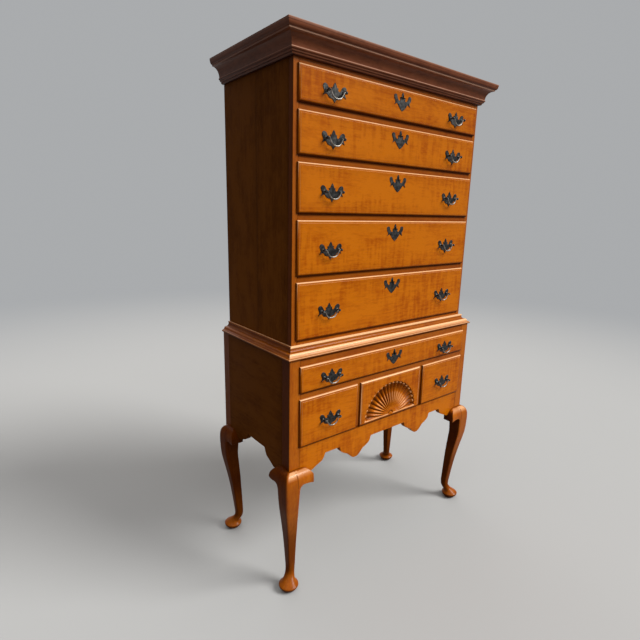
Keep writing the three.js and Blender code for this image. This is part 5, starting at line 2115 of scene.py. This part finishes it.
@dataclass
class Studio:
    """A pale floor, soft lamps, and the camera at the picture's viewing angle."""

    place: Station = (-1.26425, -1.35789, 1.32855)
    heading: float = 38.45
    tilt: float = -13.29
    roll: float = 1.286
    focal_pixels: float = 457.38
    frame_pixels: float = 640.0
    sensor: float = 36.0
    backdrop: Colour = (0.4, 0.41, 0.42)
    ambient: Colour = (0.21, 0.19, 0.17)
    lamp_height: float = 5.0

    def build(self) -> None:
        """Makes the floor, the world, the lamps and the camera."""
        scene = bpy.context.scene
        scene.view_settings.view_transform = "Standard"
        self.floor()
        self.world()
        self.lamp("key", (0.52, -0.58, 0.62), 28.0, 3.5, (1.0, 0.97, 0.92))
        self.lamp("front", (0.15, -0.95, 0.3), 70.0, 0.3, (0.95, 0.97, 1.0))
        self.lamp("sky", (0.0, -0.25, 1.0), 80.0, 1.2, (1.0, 0.98, 0.96))
        self.lamp("back", (0.35, 0.9, 0.5), 60.0, 0.9, (1.0, 0.98, 0.95))
        self.camera()

    def backdrop_share(self, bench: Bench) -> Signal:
        """One for rays that see the backdrop, straight or in a mirror, and zero for light rays."""
        rays = bench.node("ShaderNodeLightPath")
        return rays[0].most(rays[3]).most(rays[6])

    def world(self) -> None:
        """Makes the world: a pale backdrop to look at, and a plain soft light."""
        world = bpy.data.worlds.new("studio")
        world.use_nodes = True
        bpy.context.scene.world = world
        bench = Bench(world.node_tree)
        shown = bench.blend(self.backdrop_share(bench), self.ambient, self.backdrop)
        light = bench.node("ShaderNodeBackground", {}, {"Color": shown, "Strength": 1.0})
        bench.node("ShaderNodeOutputWorld", {}, {"Surface": light[0]})

    def floor(self) -> None:
        """Makes the floor, which fades into the backdrop far away."""
        bm = bmesh.new()
        bmesh.ops.create_circle(bm, cap_ends=True, segments=96, radius=30.0)
        mesh = bpy.data.meshes.new("floor")
        bm.to_mesh(mesh)
        bm.free()
        floor = bpy.data.objects.new("floor", mesh)
        bpy.context.scene.collection.objects.link(floor)
        material = bpy.data.materials.new("pale floor")
        material.use_nodes = True
        bench = Bench(material.node_tree)
        place = bench.node("ShaderNodeTexCoord")[3]
        far = bench.node("ShaderNodeVectorMath", {"operation": "LENGTH"}, {0: place})[1].step(2.2, 6.5)
        seen = self.backdrop_share(bench)
        mottle = bench.noise(place, (3.0, 3.0, 3.0), 4.0) * 0.05
        pale = bench.blend(mottle, (0.4, 0.41, 0.42), (0.33, 0.33, 0.33))
        colour = bench.blend(seen, (0.12, 0.12, 0.12), pale)
        matt = bench.node("ShaderNodeBsdfDiffuse", {}, {"Color": colour})[0]
        glow = bench.node("ShaderNodeEmission", {}, {"Color": self.backdrop, "Strength": seen})[0]
        surface = bench.node("ShaderNodeMixShader", {}, {0: far, 1: matt, 2: glow})[0]
        bench.node("ShaderNodeOutputMaterial", {}, {"Surface": surface})
        mesh.materials.append(material)

    def lamp(self, name: str, way: Colour, spread: float, power: float, colour: Colour) -> None:
        """Makes a far-off soft lamp.

        Args:
            name: its name.
            way: the direction in which it stands.
            spread: its width in degrees, as the object sees it.
            power: its power in watts on each square metre.
            colour: its colour.
        """
        data = bpy.data.lights.new(name, "SUN")
        data.angle = math.radians(spread)
        data.energy = power
        data.color = colour
        lamp = bpy.data.objects.new(name, data)
        lamp.location = self.lamp_height * Vector(way)
        lamp.rotation_euler = Vector(way).to_track_quat("Z", "Y").to_euler()
        bpy.context.scene.collection.objects.link(lamp)

    def camera(self) -> None:
        """Makes the camera."""
        data = bpy.data.cameras.new("camera")
        data.sensor_width = self.sensor
        data.lens = self.focal_pixels * self.sensor / self.frame_pixels
        camera = bpy.data.objects.new("camera", data)
        turn = (
            Matrix.Rotation(math.radians(-self.heading), 4, "Z")
            @ Matrix.Rotation(math.radians(90 + self.tilt), 4, "X")
            @ Matrix.Rotation(math.radians(self.roll), 4, "Z")
        )
        camera.matrix_world = Matrix.Translation(self.place) @ turn
        bpy.context.scene.collection.objects.link(camera)
        bpy.context.scene.camera = camera


def main() -> None:
    """Builds every sub-assembly in order."""
    logging.basicConfig(level=logging.INFO, format="%(name)s: %(message)s")
    finishes = Finishes()
    scallops = Scallops()
    Studio().build()
    Cornice(finishes).build()
    UpperCase(finishes).build()
    WaistMoulding(finishes).build()
    LowerCase(finishes, scallops).build()
    CabrioleLeg(finishes, scallops).build()
    for name in ("u1", "u2", "u3", "u4", "u5", "l1", "l2", "l3", "l4"):
        Drawer(finishes, name, f"drawer_{name}", fan=name == "l3").build()
    for name in ("u1", "u2", "u3", "u4", "u5", "l1"):
        KeyholePlate(finishes, name, f"drawer_{name}").build()
        for side in ("left", "right"):
            Pull(finishes, name, side).build()
    for name in ("l2", "l4"):
        Pull(finishes, name, "middle").build()


if __name__ == "__main__":
    main()
